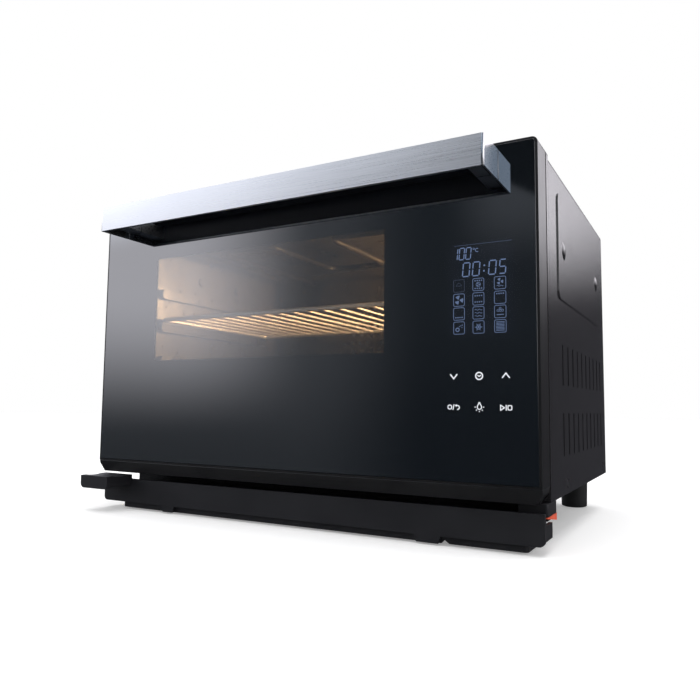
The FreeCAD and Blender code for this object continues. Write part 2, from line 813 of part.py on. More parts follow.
def tankShelf():
    xs = (tankLeft - 2.5, tankRight + 2.5)
    floorZ = (tankFloor - 2.4, tankFloor - 0.4)
    back = tankBack + 12.0
    front = framePlateBack + seat
    floor = block(xs, (front, back), floorZ)
    railY = (front + 2.2, back)
    rail = block((xs[0], xs[0] + 1.6), railY, (floorZ[0], floorZ[1] + 8.0))
    otherRail = block((xs[1] - 1.6, xs[1]), railY, (floorZ[0], floorZ[1] + 8.0))
    flange = block(xs, (front, front + 1.5), (floorZ[0] - 16.0, floorZ[1]))
    leg = block((xs[0], xs[0] + 12.0), (back - 2.0, back), (panTop, floorZ[1]))
    return joined([floor, rail, otherRail, flange, leg])


def waterTank():
    """Moulded tank with a wider face plate, a finger recess and a filler hole."""
    wall = 2.0
    lap = 1.8
    gripDepth = 6.5
    gripInset = 14.0
    fillerRadius = 9.0
    xs = (tankLeft, tankRight)
    ys = (frameFront + 0.1, tankBack)
    zs = (tankFloor, tankFloor + tankHeight)
    body = softBlock(xs, ys, zs, 3.0, alongY)
    face = block((xs[0] - lap, xs[1] + lap), (ys[0], ys[0] + 3.0), (zs[0], zs[1] + 1.5))
    hollowY = (ys[0] + gripDepth + wall, ys[1] - wall)
    hollow = block((xs[0] + wall, xs[1] - wall), hollowY, (zs[0] + wall, zs[1] - wall))
    gripZ = (zs[0] + 30.0, zs[0] + 52.0)
    gripX = (xs[0] + gripInset, xs[1] - gripInset)
    grip = softBlock(gripX, (ys[0] - 1, ys[0] + gripDepth), gripZ, 6.0, alongY)
    fillerX = xs[0] + 22.0
    fillerY = ys[0] + 40.0
    filler = rod(fillerRadius, (fillerX, fillerY, zs[1] - 2 * wall), (fillerX, fillerY, zs[1] + 1))
    return joined([body, face]).cut([hollow, grip, filler])


boardX = halfWidth - 17.0
boardThickness = 1.6
boardGap = 4.0           # board to the bracket behind it


def powerBoard():
    """Upright board by the right wall, with its larger components facing the cavity."""
    ys = (70.0, 240.0)
    zs = (footHeight + 20.0, footHeight + 165.0)
    parts = [block((boardX, boardX + boardThickness), ys, zs)]

    def component(depth, y, width, z, height):
        return block((boardX - depth, boardX + 0.5), (y, y + width), (z, z + height))

    relayCount = 3
    relayPitch = 26.0
    parts.append(component(26.0, ys[0] + 12.0, 40.0, zs[0] + 40.0, 40.0))    # transformer
    for index in range(relayCount):
        parts.append(component(16.0, ys[0] + 60.0 + index * relayPitch, 20.0, zs[0] + 95.0, 18.0))
    parts.append(component(12.0, ys[0] + 60.0, 30.0, zs[0] + 50.0, 30.0))    # filter coil
    parts.append(component(20.0, ys[0] + 102.0, 34.0, zs[0] + 50.0, 26.0))   # heat sink
    parts.append(component(8.0, ys[0] + 60.0, 60.0, zs[0] + 5.0, 20.0))      # terminals
    capacitorLength = 22.0
    capacitorZ = zs[0] + 20.0
    for y in (ys[1] - 32.0, ys[1] - 18.0):
        parts.append(rod(6.0, (boardX - capacitorLength, y, capacitorZ), (boardX + 0.5, y, capacitorZ)))
    return joined(parts)


def boardBracket():
    gauge = 1.2
    ys = (66.0, 244.0)
    left = boardX + boardThickness + boardGap
    plate = block((left, left + gauge), ys, (panTop, footHeight + 170.0))
    foot = block((left - 14.0, left + gauge), ys, (panTop, panTop + gauge))
    postRadius = 3.0
    posts = []
    for y in (ys[0] + 10.0, ys[1] - 10.0):
        for z in (footHeight + 26.0, footHeight + 159.0):
            posts.append(rod(postRadius, (left - boardGap + 0.1, y, z), (left, y, z)))
    return joined([plate, foot] + posts)


fanHalf = 40.0
fanDepth = 20.0


def coolingFanFrame():
    ys = (panelFront - seat - fanDepth, panelFront - seat)
    xs = (coolX - fanHalf, coolX + fanHalf)
    zs = (coolZ - fanHalf, coolZ + fanHalf)
    body = softBlock(xs, ys, zs, 4.0, alongY)
    body = body.cut(rod(fanHalf - 2.5, (coolX, ys[0] - 1, coolZ), (coolX, ys[1] + 1, coolZ)))
    hub = rod(12.0, (coolX, ys[1] - 3.0, coolZ), (coolX, ys[1], coolZ))
    pin = rod(pinRadius, (coolX, ys[0] + 2.0, coolZ), (coolX, ys[1], coolZ))
    strutHalf = 2.0
    strutY = (ys[1] - 3.0, ys[1])
    reach = fanHalf - 1
    strutA = block((coolX - reach, coolX + reach), strutY, (coolZ - strutHalf, coolZ + strutHalf))
    strutB = block((coolX - strutHalf, coolX + strutHalf), strutY, (coolZ - reach, coolZ + reach))
    return joined([body, hub, pin, strutA, strutB])


def coolingFanRotor():
    front = panelFront - seat - fanDepth
    ys = (front + 2.0, front + fanDepth - 4.5)
    hub = rod(13.0, (coolX, ys[0], coolZ), (coolX, ys[1], coolZ))
    parts = [hub]
    bladeCount = 7
    for index in range(bladeCount):
        blade = block((coolX + 12.0, coolX + fanHalf - 4.5), (-0.7, 0.7), (coolZ - 6.5, coolZ + 6.5))
        middle = (ys[0] + ys[1]) / 2
        blade.translate(vec(0, middle, 0))
        blade.rotate(vec(coolX, middle, coolZ), alongX, 35.0)
        blade.rotate(vec(coolX, middle, coolZ), alongY, 360.0 * index / bladeCount)
        parts.append(blade)
    bore = rod(pinRadius + runFit, (coolX, ys[0] - 1, coolZ), (coolX, ys[1] + 1, coolZ))
    return joined(parts).cut(bore)


def cordGland():
    outside = rod(glandRadius + 2.5, (glandX, panelRear, glandZ), (glandX, panelRear + 2.2, glandZ))
    body = rod(glandRadius, (glandX, panelFront - 12.0, glandZ), (glandX, panelRear, glandZ))
    nut = rod(glandRadius + 2.5, (glandX, panelFront - 5.0, glandZ), (glandX, panelFront - 0.1, glandZ))
    hole = rod(3.4, (glandX, panelFront - 13.0, glandZ), (glandX, panelRear + 3.0, glandZ))
    return joined([outside, body, nut]).cut(hole)


def terminalBlock():
    xs = (glandX - 18.0, glandX + 18.0)
    ys = (panelFront - 60.0, panelFront - 36.0)
    body = block(xs, ys, (panTop, panTop + 16.0))
    holes = []
    for index in (-1, 0, 1):
        x = glandX + index * 11.0
        holes.append(rod(2.6, (x, ys[0] + 12.0, panTop + 6.0), (x, ys[0] + 12.0, panTop + 20.0)))
    return body.cut(holes)


# ---- door
doorCorner = 5.0


def hingeNotch():
    notch = block((hingeX - 6.6, hingeX + 6.6), (5.0, 40.0), (doorBottom - 2.0, hingeZ + 8.5))
    return bothSides(notch)


def doorFrame():
    wall = 3.0
    rim = 1.6
    ledge = 12.0
    ys = (0.5, doorFrameBack)
    zs = (doorFrameBottom, bodyHeight)
    outer = topRounded((-halfWidth, halfWidth), ys, zs, doorCorner)
    glassX = halfWidth - rim
    glassBack = glassThickness + 0.2
    glassZ = (zs[0] + rim, zs[1] - rim)
    glassPocket = topRounded((-glassX, glassX), (-1, glassBack), glassZ, doorCorner - rim)
    openX = halfWidth - ledge
    opening = block((-openX, openX), (-1, ys[1] + 1), (zs[0] + ledge, zs[1] - ledge))
    backX = halfWidth - wall
    backPocket = block((-backX, backX), (glassBack + 2.0, ys[1] + 1), (zs[0] + wall, zs[1] - wall))
    frame = outer.cut([glassPocket, opening, backPocket])
    bossY = (glassBack, glassBack + 4.0)
    boss = block((standoffX - 12.0, standoffX + 12.0), bossY, (handleBottom + 1.0, zs[1] - wall + 0.5))
    hingeBossX = (hingeX - 11.0, halfWidth - wall + 0.5)
    hingeBoss = block(hingeBossX, (glassBack, ys[1]), (hingeZ + 8.5, hingeZ + 20.0))
    frame = joined([frame] + bothSides(boss) + bothSides(hingeBoss))
    cutters = hingeNotch()
    cutters += bothSides(rod(2.3, (standoffX, 0, standoffZ), (standoffX, 20, standoffZ)))
    return frame.cut(cutters)


def doorOuterGlass():
    edge = 1.8
    plate = topRounded((-halfWidth + edge, halfWidth - edge), (0, glassThickness),
                       (doorFrameBottom + edge, bodyHeight - edge), doorCorner - edge)
    arris = 0.6
    frontEdges = [edge for edge in plate.Edges if edge.BoundBox.YMax < 0.1]
    plate = plate.makeChamfer(arris, frontEdges)
    holes = bothSides(rod(2.5, (standoffX, -1, standoffZ), (standoffX, 10, standoffZ)))
    return plate.cut(holes)


def doorBottomTrim():
    top = doorFrameBottom - 0.2
    low = doorBottom
    profile = [(0.6, top), (4.0, low), (18.0, low), (28.0, top - 1.0), (28.0, top)]
    bar = prismX(profile, (-halfWidth, halfWidth))
    beyond = halfWidth + 1
    cornerCut = prismY([(beyond, top - 2.0), (beyond, low - 1), (halfWidth - 6.0, low - 1)], (-5, 40))
    pocket = block((6.0, hingeX - 10.0), (6.0, 22.0), (low + 4.0, top + 1))
    return bar.cut(bothSides(cornerCut) + bothSides(pocket) + hingeNotch())


innerGlassX = (cavityLeft + 2.0, cavityRight - 2.0)
innerGlassZ = (cavityFloor + 46.0, cavityTop - 16.0)
innerGlassLap = 6.0


def doorBackPanel():
    ys = (doorFrameBack + seat, doorFrameBack + seat + sheet)
    edge = 2.0
    low = doorFrameBottom + 3.6
    plate = block((-halfWidth + edge, halfWidth - edge), ys, (low, bodyHeight - edge))
    lap = innerGlassLap
    window = softBlock((innerGlassX[0] + lap, innerGlassX[1] - lap), (ys[0] - 1, ys[1] + 1),
                       (innerGlassZ[0] + lap, innerGlassZ[1] - lap), 6.0, alongY)
    return plate.cut([window] + hingeNotch())


def doorInnerGlass():
    back = doorFrameBack
    return softBlock(innerGlassX, (back - glassThickness, back), innerGlassZ, 4.0, alongY)


def glassClips():
    """Small brackets that hold the inner glass to the back panel."""
    made = []
    for x in (innerGlassX[0] + 50.0, innerGlassX[1] - 50.0):
        for z, outward in ((innerGlassZ[0], -1), (innerGlassZ[1], 1)):
            front = doorFrameBack - glassThickness - 1.5
            lipZ = sorted((z + outward * 8.0, z - outward * 5.0))
            wallZ = sorted((z + outward * 0.4, z + outward * 8.0))
            lip = block((x - 9.0, x + 9.0), (front, front + 1.2), lipZ)
            wall = block((x - 9.0, x + 9.0), (front, doorFrameBack + 0.1), wallZ)
            made.append(joined([lip, wall]))
    return group(made)


def doorUp(share):
    return doorBottom + share * doorHeight


displayX = (halfWidth - 81.0, halfWidth - 20.0)
displayZ = (doorUp(0.463), doorUp(0.759))
touchX = (halfWidth - 87.0, halfWidth - 16.0)
touchZ = (doorUp(0.245), doorUp(0.408))


def displayModule():
    ys = (glassThickness + seat, glassThickness + 9.0)
    body = block(displayX, ys, displayZ)
    pinWidth = 2.5
    pinInset = 8.0
    parts = [body]
    for z in (displayZ[0] + 3.0, displayZ[1] - 3.0 - pinWidth):
        xs = (displayX[0] + pinInset, displayX[1] - pinInset)
        parts.append(block(xs, (ys[1] - 0.5, ys[1] + 2.0), (z, z + pinWidth)))
    return joined(parts)


def touchBoard():
    """The touch circuit: a board with one sprung pad for each of the six keys."""
    boardY = (glassThickness + 3.5, glassThickness + 5.1)
    parts = [block(touchX, boardY, touchZ)]
    for share in (0.18, 0.5, 0.82):
        x = touchX[0] + (touchX[1] - touchX[0]) * share
        for z in (touchZ[0] + 12.0, touchZ[1] - 12.0):
            parts.append(rod(5.0, (x, glassThickness + seat, z), (x, boardY[0] + 0.5, z)))
    return joined(parts)


def displayCarrier():
    """Plastic tray that holds both boards against the glass."""
    wall = 2.0
    xs = (touchX[0] - 5.0, halfWidth - 3.0 - seat)
    zs = (touchZ[0] - 6.0, displayZ[1] + 6.0)
    ys = (glassThickness + seat, glassThickness + 14.0)
    outer = block(xs, ys, zs)
    hollow = block((xs[0] + wall, xs[1] - 9.5), (ys[0] - 1, ys[1] - wall), (zs[0] + wall, zs[1] - wall))
    tray = outer.cut(hollow)
    floor = ys[1] - wall
    backOfTouch = glassThickness + 5.1
    posts = []
    for x in (touchX[0] + 4.0, touchX[1] - 4.0):
        for z in (touchZ[0] + 4.0, touchZ[1] - 4.0):
            posts.append(rod(2.5, (x, backOfTouch + 0.2, z), (x, floor + 0.5, z)))
    for z in (displayZ[0] + 12.0, displayZ[1] - 12.0):
        x = (displayX[0] + displayX[1]) / 2
        posts.append(rod(4.0, (x, glassThickness + 9.2, z), (x, floor + 0.5, z)))
    relief = block((halfWidth - 12.5, halfWidth), (0, glassThickness + 2.6), (zs[0] - 1, zs[1] + 1))
    return joined([tray] + posts).cut(relief)


def hingeArms():
    """U-shaped brackets in the door whose cheeks carry the hinge pins."""
    cheek = 2.0
    outer = (hingeX - 6.1, hingeX + 6.1)
    ys = (hingeY - 4.0, hingeY + 15.0)
    top = hingeZ + 8.2
    zs = (hingeZ - 5.0, top)
    roof = block(outer, ys, (top - 2.0, top))
    cheeks = [block((outer[0], outer[0] + cheek), ys, zs), block((outer[1] - cheek, outer[1]), ys, zs)]
    bore = rod(pinRadius + 0.02, (hingeX - 10, hingeY, hingeZ), (hingeX + 10, hingeY, hingeZ))
    return group(bothSides(joined([roof] + cheeks).cut(bore)))


def hingePins():
    pin = rod(pinRadius, (hingeX - 6.4, hingeY, hingeZ), (hingeX + 6.4, hingeY, hingeZ))
    return group(bothSides(pin))


def hingeBrackets():
    """Fixed lugs behind the front frame that the hinge pins turn in."""
    lug = (hingeX - 2.0, hingeX + 2.0)
    plateY = (framePlateBack + 0.1, framePlateBack + 2.1)
    eye = rod(hingeEye, (lug[0], hingeY, hingeZ), (lug[1], hingeY, hingeZ))
    bar = block(lug, (hingeY, plateY[1]), (hingeZ - hingeEye, hingeZ + hingeEye))
    plate = block((hingeX - 12.0, hingeX + 10.0), plateY, (hingeZ - 13.0, hingeZ + 13.0))
    bore = rod(pinRadius + runFit, (lug[0] - 1, hingeY, hingeZ), (lug[1] + 1, hingeY, hingeZ))
    return group(bothSides(joined([eye, bar, plate]).cut(bore)))


# ---- handle
def handleShell():
    """Brushed steel channel: front, two end legs and short turned lips."""
    skin = 1.5
    topLip = 11.0
    lowLip = 3.5
    zs = (handleBottom, handleTop)
    front = block((-handleHalf, handleHalf), (-handleReach, -handleReach + skin), zs)
    xs = (-handleHalf, handleHalf)
    upper = block(xs, (-handleReach, -handleReach + topLip), (zs[1] - skin, zs[1]))
    lower = block(xs, (-handleReach, -handleReach + lowLip), (zs[0], zs[0] + skin))
    leg = block((handleHalf - skin, handleHalf), (-handleReach, -seat), zs)
    shell = joined([front, upper, lower] + bothSides(leg))
    cornerRadii = ((-handleReach, 2.2), (-seat, 1.0))
    for y, radius in cornerRadii:
        upright = []
        for edge in edgesAlong(shell, alongZ):
            middle = edge.CenterOfMass
            if abs(abs(middle.x) - handleHalf) < 0.01 and abs(middle.y - y) < 0.01:
                upright.append(edge)
        shell = shell.makeFillet(radius, upright)
    return shell


def handleLiner():
    """Black plastic lining that backs the steel and closes the top of the channel."""
    skin = 1.5
    thick = 2.5
    half = handleHalf - skin - 0.2
    front = -handleReach + skin + 0.2
    top = handleTop - skin - 0.2
    plate = block((-half, half), (front, front + thick), (handleBottom + skin + 0.2, top))
    roof = block((-half, half), (front, front + 17.0), (top - thick, top))
    cheek = block((half - thick, half), (front, -8.0), (handleBottom + skin + 0.2, top))
    liner = joined([plate, roof] + bothSides(cheek))
    return liner


def handleStandoffs():
    skin = 1.5
    back = -seat
    front = -handleReach + skin + 0.2 + 2.5 + 0.1
    half = 8.0
    leg = handleHalf - skin - 0.2 - 2.5 - 0.1
    post = softBlock((leg - 2 * half, leg), (front, back), (standoffZ - half, standoffZ + half), 2.0, alongY)
    bore = rod(2.1, (standoffX, -18.0, standoffZ), (standoffX, 1, standoffZ))
    return group(bothSides(post.cut(bore)))


def handleScrews():
    headBack = glassThickness + 0.2 + 4.0
    head = rod(4.2, (standoffX, headBack, standoffZ), (standoffX, headBack + 2.6, standoffZ))
    shank = rod(2.0, (standoffX, -17.0, standoffZ), (standoffX, headBack, standoffZ))
    return group(bothSides(joined([head, shank])))


# ---- drip tray and drain
def dripTray():
    """Trough on a rim that nearly touches the worktop, with two arms behind it."""
    wall = 2.0
    rimZ = (skirtLow, trayFloor + wall)
    outer = softBlock(trayX, (fasciaBack, trayBack), (skirtLow, trayTop), 4.0, alongZ)
    innerX = (trayX[0] + wall, trayX[1] - wall)
    innerY = (fasciaBack + wall, trayBack - wall)
    trough = softBlock(innerX, innerY, (trayFloor + wall, trayTop + 1), 3.0, alongZ)
    below = softBlock(innerX, innerY, (rimZ[0] - 1, trayFloor), 3.0, alongZ)
    notchHigh = 3.2
    notch = [(165.0, skirtLow - 1), (169.1, skirtLow + notchHigh), (175.0, skirtLow - 1)]
    notchCut = prismY(notch, (fasciaBack - 1, fasciaBack + wall + 1))
    arm = block(armX, (trayBack - 1.0, trayBack + armReach), armZ)
    return joined([outer.cut([trough, below, notchCut])] + bothSides(arm))


def trayRails():
    """C-shaped runners under the base pan that hold the arms of the tray."""
    wall = 1.8
    play = 0.5
    ys = (lipY + sheet + 1.0, trayBack + armReach + 5.0)
    innerX = (armX[0] - play, armX[1] + play)
    innerZ = (armZ[0] - play, armZ[1] + play)
    outer = block((innerX[0] - wall, innerX[1] + wall), ys, (innerZ[0] - wall, footHeight))
    tunnel = block(innerX, (ys[0] - 1, ys[1] + 1), innerZ)
    hollow = block(innerX, (ys[0] - 1, ys[1] + 1), (innerZ[1] + wall, footHeight - wall))
    return group(bothSides(outer.cut([tunnel, hollow])))


def pullTab():
    """Hooked grip at the left end of the fascia, open underneath."""
    xs = (-halfWidth + 1.5, -halfWidth + 44.5)
    front = -26.0
    top = 40.0
    wall = 3.0
    outer = block(xs, (front, fasciaFront + 0.5), (26.0, top))
    lowFront = [edge for edge in edgesAlong(outer, alongY) if edge.CenterOfMass.z < 27.0]
    outer = outer.makeFillet(5.5, lowFront)
    inside = block((xs[0] + wall, xs[1] - wall), (front + wall, fasciaFront + 2.0), (20.0, top - wall))
    dip = Part.makeCylinder(60.0, 60.0, vec(xs[0] - 5, front + 18.0, top + 59.0), alongX)
    return outer.cut([inside, dip])


def trayFascia():
    """Front of the drip tray: a plate with two low tabs, returned ends and a pull tab."""
    half = halfWidth - 0.5
    lap = 2.4
    endWall = 3.0
    endBack = 37.7
    endZ = (fasciaBottom + 4.0, fasciaBottom + 16.7)
    ys = (fasciaFront, fasciaBack)
    plate = block((-half, half), ys, (fasciaBottom, fasciaTop))
    lowEnds = [edge for edge in edgesAlong(plate, alongY) if edge.CenterOfMass.z < fasciaBottom + 1]
    plate = plate.makeFillet(5.0, lowEnds)
    tabSlope = 2.8
    tabs = []
    for left, right in ((-163.0, -149.0), (143.7, 164.4)):
        outline = [(left - tabSlope, fasciaBottom + 1), (left, skirtLow)]
        outline += [(right, skirtLow), (right + tabSlope, fasciaBottom + 1)]
        tabs.append(prismY(outline, (ys[0], ys[0] + lap)))
    end = block((half - endWall, half), (ys[0] + lap, endBack), endZ)
    return joined([plate, pullTab()] + tabs + bothSides(end))


def drainPlace():
    return (halfWidth - 24.5, 47.0)


def drainBlock():
    """Outlet under the right front corner, with a sideways bore for the plug."""
    right = halfWidth - 0.2
    left = right - 25.0
    lap = 0.8
    upper = softBlock((left, right), blockY, (blockFloor, casingBottom - 0.2), 2.0, alongZ)
    seatPad = block((left + 1, panX - 1), (casingFront + 1, blockY[1] - 1), (blockFloor, footHeight - 0.1))
    spigotY = (plugY - 9.0, plugY + 9.0)
    spigotZ = (plugZ - plugStem - 1.2, blockFloor + lap)
    spigot = block((left, right - plugPlate - 0.4), spigotY, spigotZ)
    bore = rod(plugStem + runFit, (left + 3.0, plugY, plugZ), (right + 1, plugY, plugZ))
    return joined([upper, seatPad, spigot]).cut(bore)


def drainPlug():
    """Wedge-shaped finger plate that grows deeper towards the rear, on a round stem."""
    right = halfWidth - 0.1
    ys = (blockY[0] + 0.5, blockY[1] - 0.5)
    top = blockFloor - 0.2
    side = [(ys[0], top), (ys[0], top - 1.0), (ys[1], top - 6.1), (ys[1], top)]
    plate = prismX(side, (right - plugPlate, right))
    stem = rod(plugStem, (right - 20.0, plugY, plugZ), (right - plugPlate + 1.0, plugY, plugZ))
    return joined([plate, stem])


def drainPipe():
    x, y = drainPlace()
    z = footHeight + 20.0
    start = serviceLeft + boilerWidth + 0.2
    outletY = boilerFront + 13.0
    path = [(start, outletY, z), (x, outletY, z), (x, y, z), (x, y, footHeight)]
    return bentTube(path, 3.5, 5.0)


pieces = {
    "casing_shell": casingShell,
    "casing_screws": casingScrews,
    "rear_panel": rearPanel,
    "rear_screws": rearScrews,
    "base_pan": basePan,
    "feet": feet,
    "foot_pads": footPads,
    "front_frame": frontFrame,
    "cavity_liner": cavityLiner,
    "insulation_wrap": insulationWrap,
    "liner_supports": linerSupports,
    "door_gasket": doorGasket,
    "upper_heater": upperHeater,
    "lower_heater": lowerHeater,
    "rear_heater": rearHeater,
    "fan_cover": fanCover,
    "fan_cover_screws": fanCoverScrews,
    "convection_fan": convectionFan,
    "motor_mount": motorMount,
    "fan_motor": fanMotor,
    "lamp_lens": lampLens,
    "lamp_housing": lampHousing,
    "lamp_bulb": lampBulb,
    "temperature_probe": temperatureProbe,
    "wire_rack": wireRack,
    "steam_generator": steamGenerator,
    "steam_pipe": steamPipe,
    "water_pump": waterPump,
    "water_hose": waterHose,
    "tank_shelf": tankShelf,
    "water_tank": waterTank,
    "power_board": powerBoard,
    "board_bracket": boardBracket,
    "cooling_fan_frame": coolingFanFrame,
    "cooling_fan_rotor": coolingFanRotor,
    "cord_gland": cordGland,
    "terminal_block": terminalBlock,
    "door_frame": doorFrame,
    "door_outer_glass": doorOuterGlass,
    "door_bottom_trim": doorBottomTrim,
    "door_back_panel": doorBackPanel,
    "door_inner_glass": doorInnerGlass,
    "glass_clips": glassClips,
    "display_module": displayModule,
    "touch_board": touchBoard,
    "display_carrier": displayCarrier,
    "hinge_arms": hingeArms,
    "hinge_pins": hingePins,
    "hinge_brackets": hingeBrackets,
    "handle_shell": handleShell,
    "handle_liner": handleLiner,
    "handle_standoffs": handleStandoffs,
    "handle_screws": handleScrews,
    "drip_tray": dripTray,
    "tray_rails": trayRails,
    "tray_fascia": trayFascia,
    "drain_block": drainBlock,
    "drain_plug": drainPlug,
    "drain_pipe": drainPipe,
}

for name, build in pieces.items():
    save(name, build())
    print("saved", name)
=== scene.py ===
import json
import math
import bmesh
import bpy
from mathutils import Matrix, Vector


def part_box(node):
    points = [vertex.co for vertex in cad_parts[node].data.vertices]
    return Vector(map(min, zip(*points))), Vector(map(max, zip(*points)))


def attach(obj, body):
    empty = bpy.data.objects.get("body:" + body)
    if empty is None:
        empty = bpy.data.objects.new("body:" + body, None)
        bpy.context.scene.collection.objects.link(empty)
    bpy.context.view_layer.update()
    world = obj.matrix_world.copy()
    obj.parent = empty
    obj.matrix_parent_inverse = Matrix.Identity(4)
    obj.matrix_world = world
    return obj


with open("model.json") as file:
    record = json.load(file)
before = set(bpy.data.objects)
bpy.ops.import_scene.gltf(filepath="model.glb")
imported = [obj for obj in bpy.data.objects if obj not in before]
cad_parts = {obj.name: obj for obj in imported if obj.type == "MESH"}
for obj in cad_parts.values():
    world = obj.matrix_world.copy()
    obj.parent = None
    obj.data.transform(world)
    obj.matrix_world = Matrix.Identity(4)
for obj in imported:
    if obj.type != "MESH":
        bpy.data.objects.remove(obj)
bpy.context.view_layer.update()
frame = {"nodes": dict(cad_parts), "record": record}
print("frame loaded with", len(frame["nodes"]), "nodes")

mm = 0.001
halfWay = 0.5
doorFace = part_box("door_outer_glass")[0].y  # the plane of the glass that the cook touches


# camera and studio

cameraPlace = {
    "at": (0.3809, -0.6965, 0.1195),
    "turnLeft": 29.07,  # degrees
    "tiltUp": 5.05,
    "roll": 0.65,
    "lens": 33.75,
    "sensor": 36.0,
    "near": 0.01,
}


def addCamera(place):
    turn = math.radians(place["turnLeft"])
    tilt = math.radians(place["tiltUp"])
    roll = math.radians(place["roll"])
    flat = math.cos(tilt)
    ahead = Vector((-math.sin(turn) * flat, math.cos(turn) * flat, math.sin(tilt)))
    level = Vector((math.cos(turn), math.sin(turn), 0.0))
    upright = level.cross(ahead)
    right = math.cos(roll) * level + math.sin(roll) * upright
    up = -math.sin(roll) * level + math.cos(roll) * upright
    data = bpy.data.cameras.new("studioCamera")
    data.lens = place["lens"]
    data.sensor_width = place["sensor"]
    data.clip_start = place["near"]
    camera = bpy.data.objects.new("studioCamera", data)
    facing = Matrix((right, up, -ahead)).transposed().to_4x4()
    camera.matrix_world = Matrix.Translation(Vector(place["at"])) @ facing
    bpy.context.scene.collection.objects.link(camera)
    bpy.context.scene.camera = camera
    bpy.context.scene.view_settings.view_transform = "Standard"


# materials: one socket, and one material under construction


class Wire:
    # a socket, so that sums on it read as plain arithmetic
    def __init__(self, finish, socket):
        self.finish = finish
        self.socket = socket

    def sum(self, operation, first, second):
        sockets = {0: first, 1: second}
        return self.finish.node("Math", {"operation": operation}, sockets)

    def __add__(self, other):
        return self.sum("ADD", self, other)

    __radd__ = __add__

    def __sub__(self, other):
        return self.sum("SUBTRACT", self, other)

    def __rsub__(self, other):
        return self.sum("SUBTRACT", other, self)

    def __mul__(self, other):
        return self.sum("MULTIPLY", self, other)

    __rmul__ = __mul__

    def __truediv__(self, other):
        return self.sum("DIVIDE", self, other)

    def __rtruediv__(self, other):
        return self.sum("DIVIDE", other, self)

    def __neg__(self):
        return self.sum("SUBTRACT", 0.0, self)

    def __abs__(self):
        return self.finish.node("Math", {"operation": "ABSOLUTE"}, {0: self})

    def held(self):  # kept between 0 and 1
        settings = {"operation": "ADD", "use_clamp": True}
        return self.finish.node("Math", settings, {0: self, 1: 0.0})

    def turnFrom(self, other):  # the angle whose tangent is self over other
        return self.sum("ARCTAN2", self, other)

    def rise(self, low, high):  # 0 below low, 1 above high, and smooth between them
        settings = {"interpolation_type": "SMOOTHSTEP"}
        sockets = {"Value": self, "From Min": low, "From Max": high}
        return self.finish.node("MapRange", settings, sockets)


class Finish:
    # a material being built for one of the oven's surfaces, or the studio's air
    def __init__(self, name, owner=None):
        self.material = owner or bpy.data.materials.new(name)
        self.material.use_nodes = True
        self.nodes = self.material.node_tree.nodes
        self.links = self.material.node_tree.links
        self.nodes.clear()

    def node(self, kind, settings=None, sockets=None, result=0):
        made = self.nodes.new("ShaderNode" + kind)
        for key, value in (settings or {}).items():
            setattr(made, key, value)
        for key, value in (sockets or {}).items():
            if isinstance(value, Wire):
                self.links.new(value.socket, made.inputs[key])
            else:
                made.inputs[key].default_value = value
        return Wire(self, made.outputs[result]) if made.outputs else None

    def place(self):
        return self.node("TexCoord", result="Object")

    def axis(self, name):
        return self.node("SeparateXYZ", {}, {"Vector": self.place()}, result=name)

    def stretched(self, amount):
        sockets = {0: self.place(), 1: amount}
        return self.node("VectorMath", {"operation": "MULTIPLY"}, sockets)

    def noise(self, scale, detail=2.0, stretch=(1.0, 1.0, 1.0), roughness=0.5):
        sockets = {
            "Vector": self.stretched(stretch),
            "Scale": scale,
            "Detail": detail,
            "Roughness": roughness,
        }
        return self.node("TexNoise", {}, sockets, result="Fac")

    def cells(self, scale):
        sockets = {"Vector": self.place(), "Scale": scale}
        return self.node("TexVoronoi", {}, sockets, result="Distance")

    def spread(self, value, low, high):  # a noise value, stretched over the range from low to high
        contrast = 2.2
        return ((value - halfWay) * contrast + halfWay).held() * (high - low) + low

    def shared(self, first, second, share):  # the given share of the first, and the rest of the second
        return first * share + second * (1.0 - share)

    def blend(self, factor, first, second):
        inputA, inputB, mixed = 6, 7, 2  # the places of a Mix node's colours
        sockets = {0: factor, inputA: shade(first), inputB: shade(second)}
        return self.node("Mix", {"data_type": "RGBA"}, sockets, result=mixed)

    def bump(self, height, strength, depth):
        sockets = {"Height": height, "Strength": strength, "Distance": depth}
        return self.node("Bump", {}, sockets, result="Normal")

    def surface(self, sockets):
        return self.node("BsdfPrincipled", {}, sockets)

    def close(self, shader):
        self.node("OutputMaterial", {}, {"Surface": shader})
        return self.material


def shade(colour):
    if isinstance(colour, Wire):
        return colour
    return (*colour, 1.0)


# painted sheet metal

casingLook = {
    "paint": (0.0105, 0.0100, 0.0112),
    "paintWorn": (0.0150, 0.0142, 0.0158),
    "patches": 9.0,
    "grain": 1500.0,
    "grainShare": 0.5,
    "roughness": (0.17, 0.22),
    "gloss": 0.55,
    "bumpStrength": 0.35,
    "bumpDepth": 0.00012,
}


def casingPaint():
    look = casingLook
    finish = Finish("casingPaint")
    patches = finish.noise(look["patches"], detail=3.0)
    grain = finish.noise(look["grain"], detail=3.0)
    low, high = look["roughness"]
    return finish.close(finish.surface({
        "Base Color": finish.blend(patches, look["paint"], look["paintWorn"]),
        "Roughness": finish.spread(finish.shared(grain, patches, look["grainShare"]), low, high),
        "Specular IOR Level": look["gloss"],
        "Normal": finish.bump(grain, look["bumpStrength"], look["bumpDepth"]),
    }))


enamelLook = {
    "ground": (0.0050, 0.0045, 0.0042),
    "fleck": (0.016, 0.0145, 0.013),
    "fleckScale": 420.0,
    "fleckShare": 0.60,
    "fleckEdge": 14.0,
    "ripple": 60.0,
    "roughness": (0.26, 0.34),
    "gloss": 0.8,
    "bumpStrength": 0.12,
    "bumpDepth": 0.0004,
}


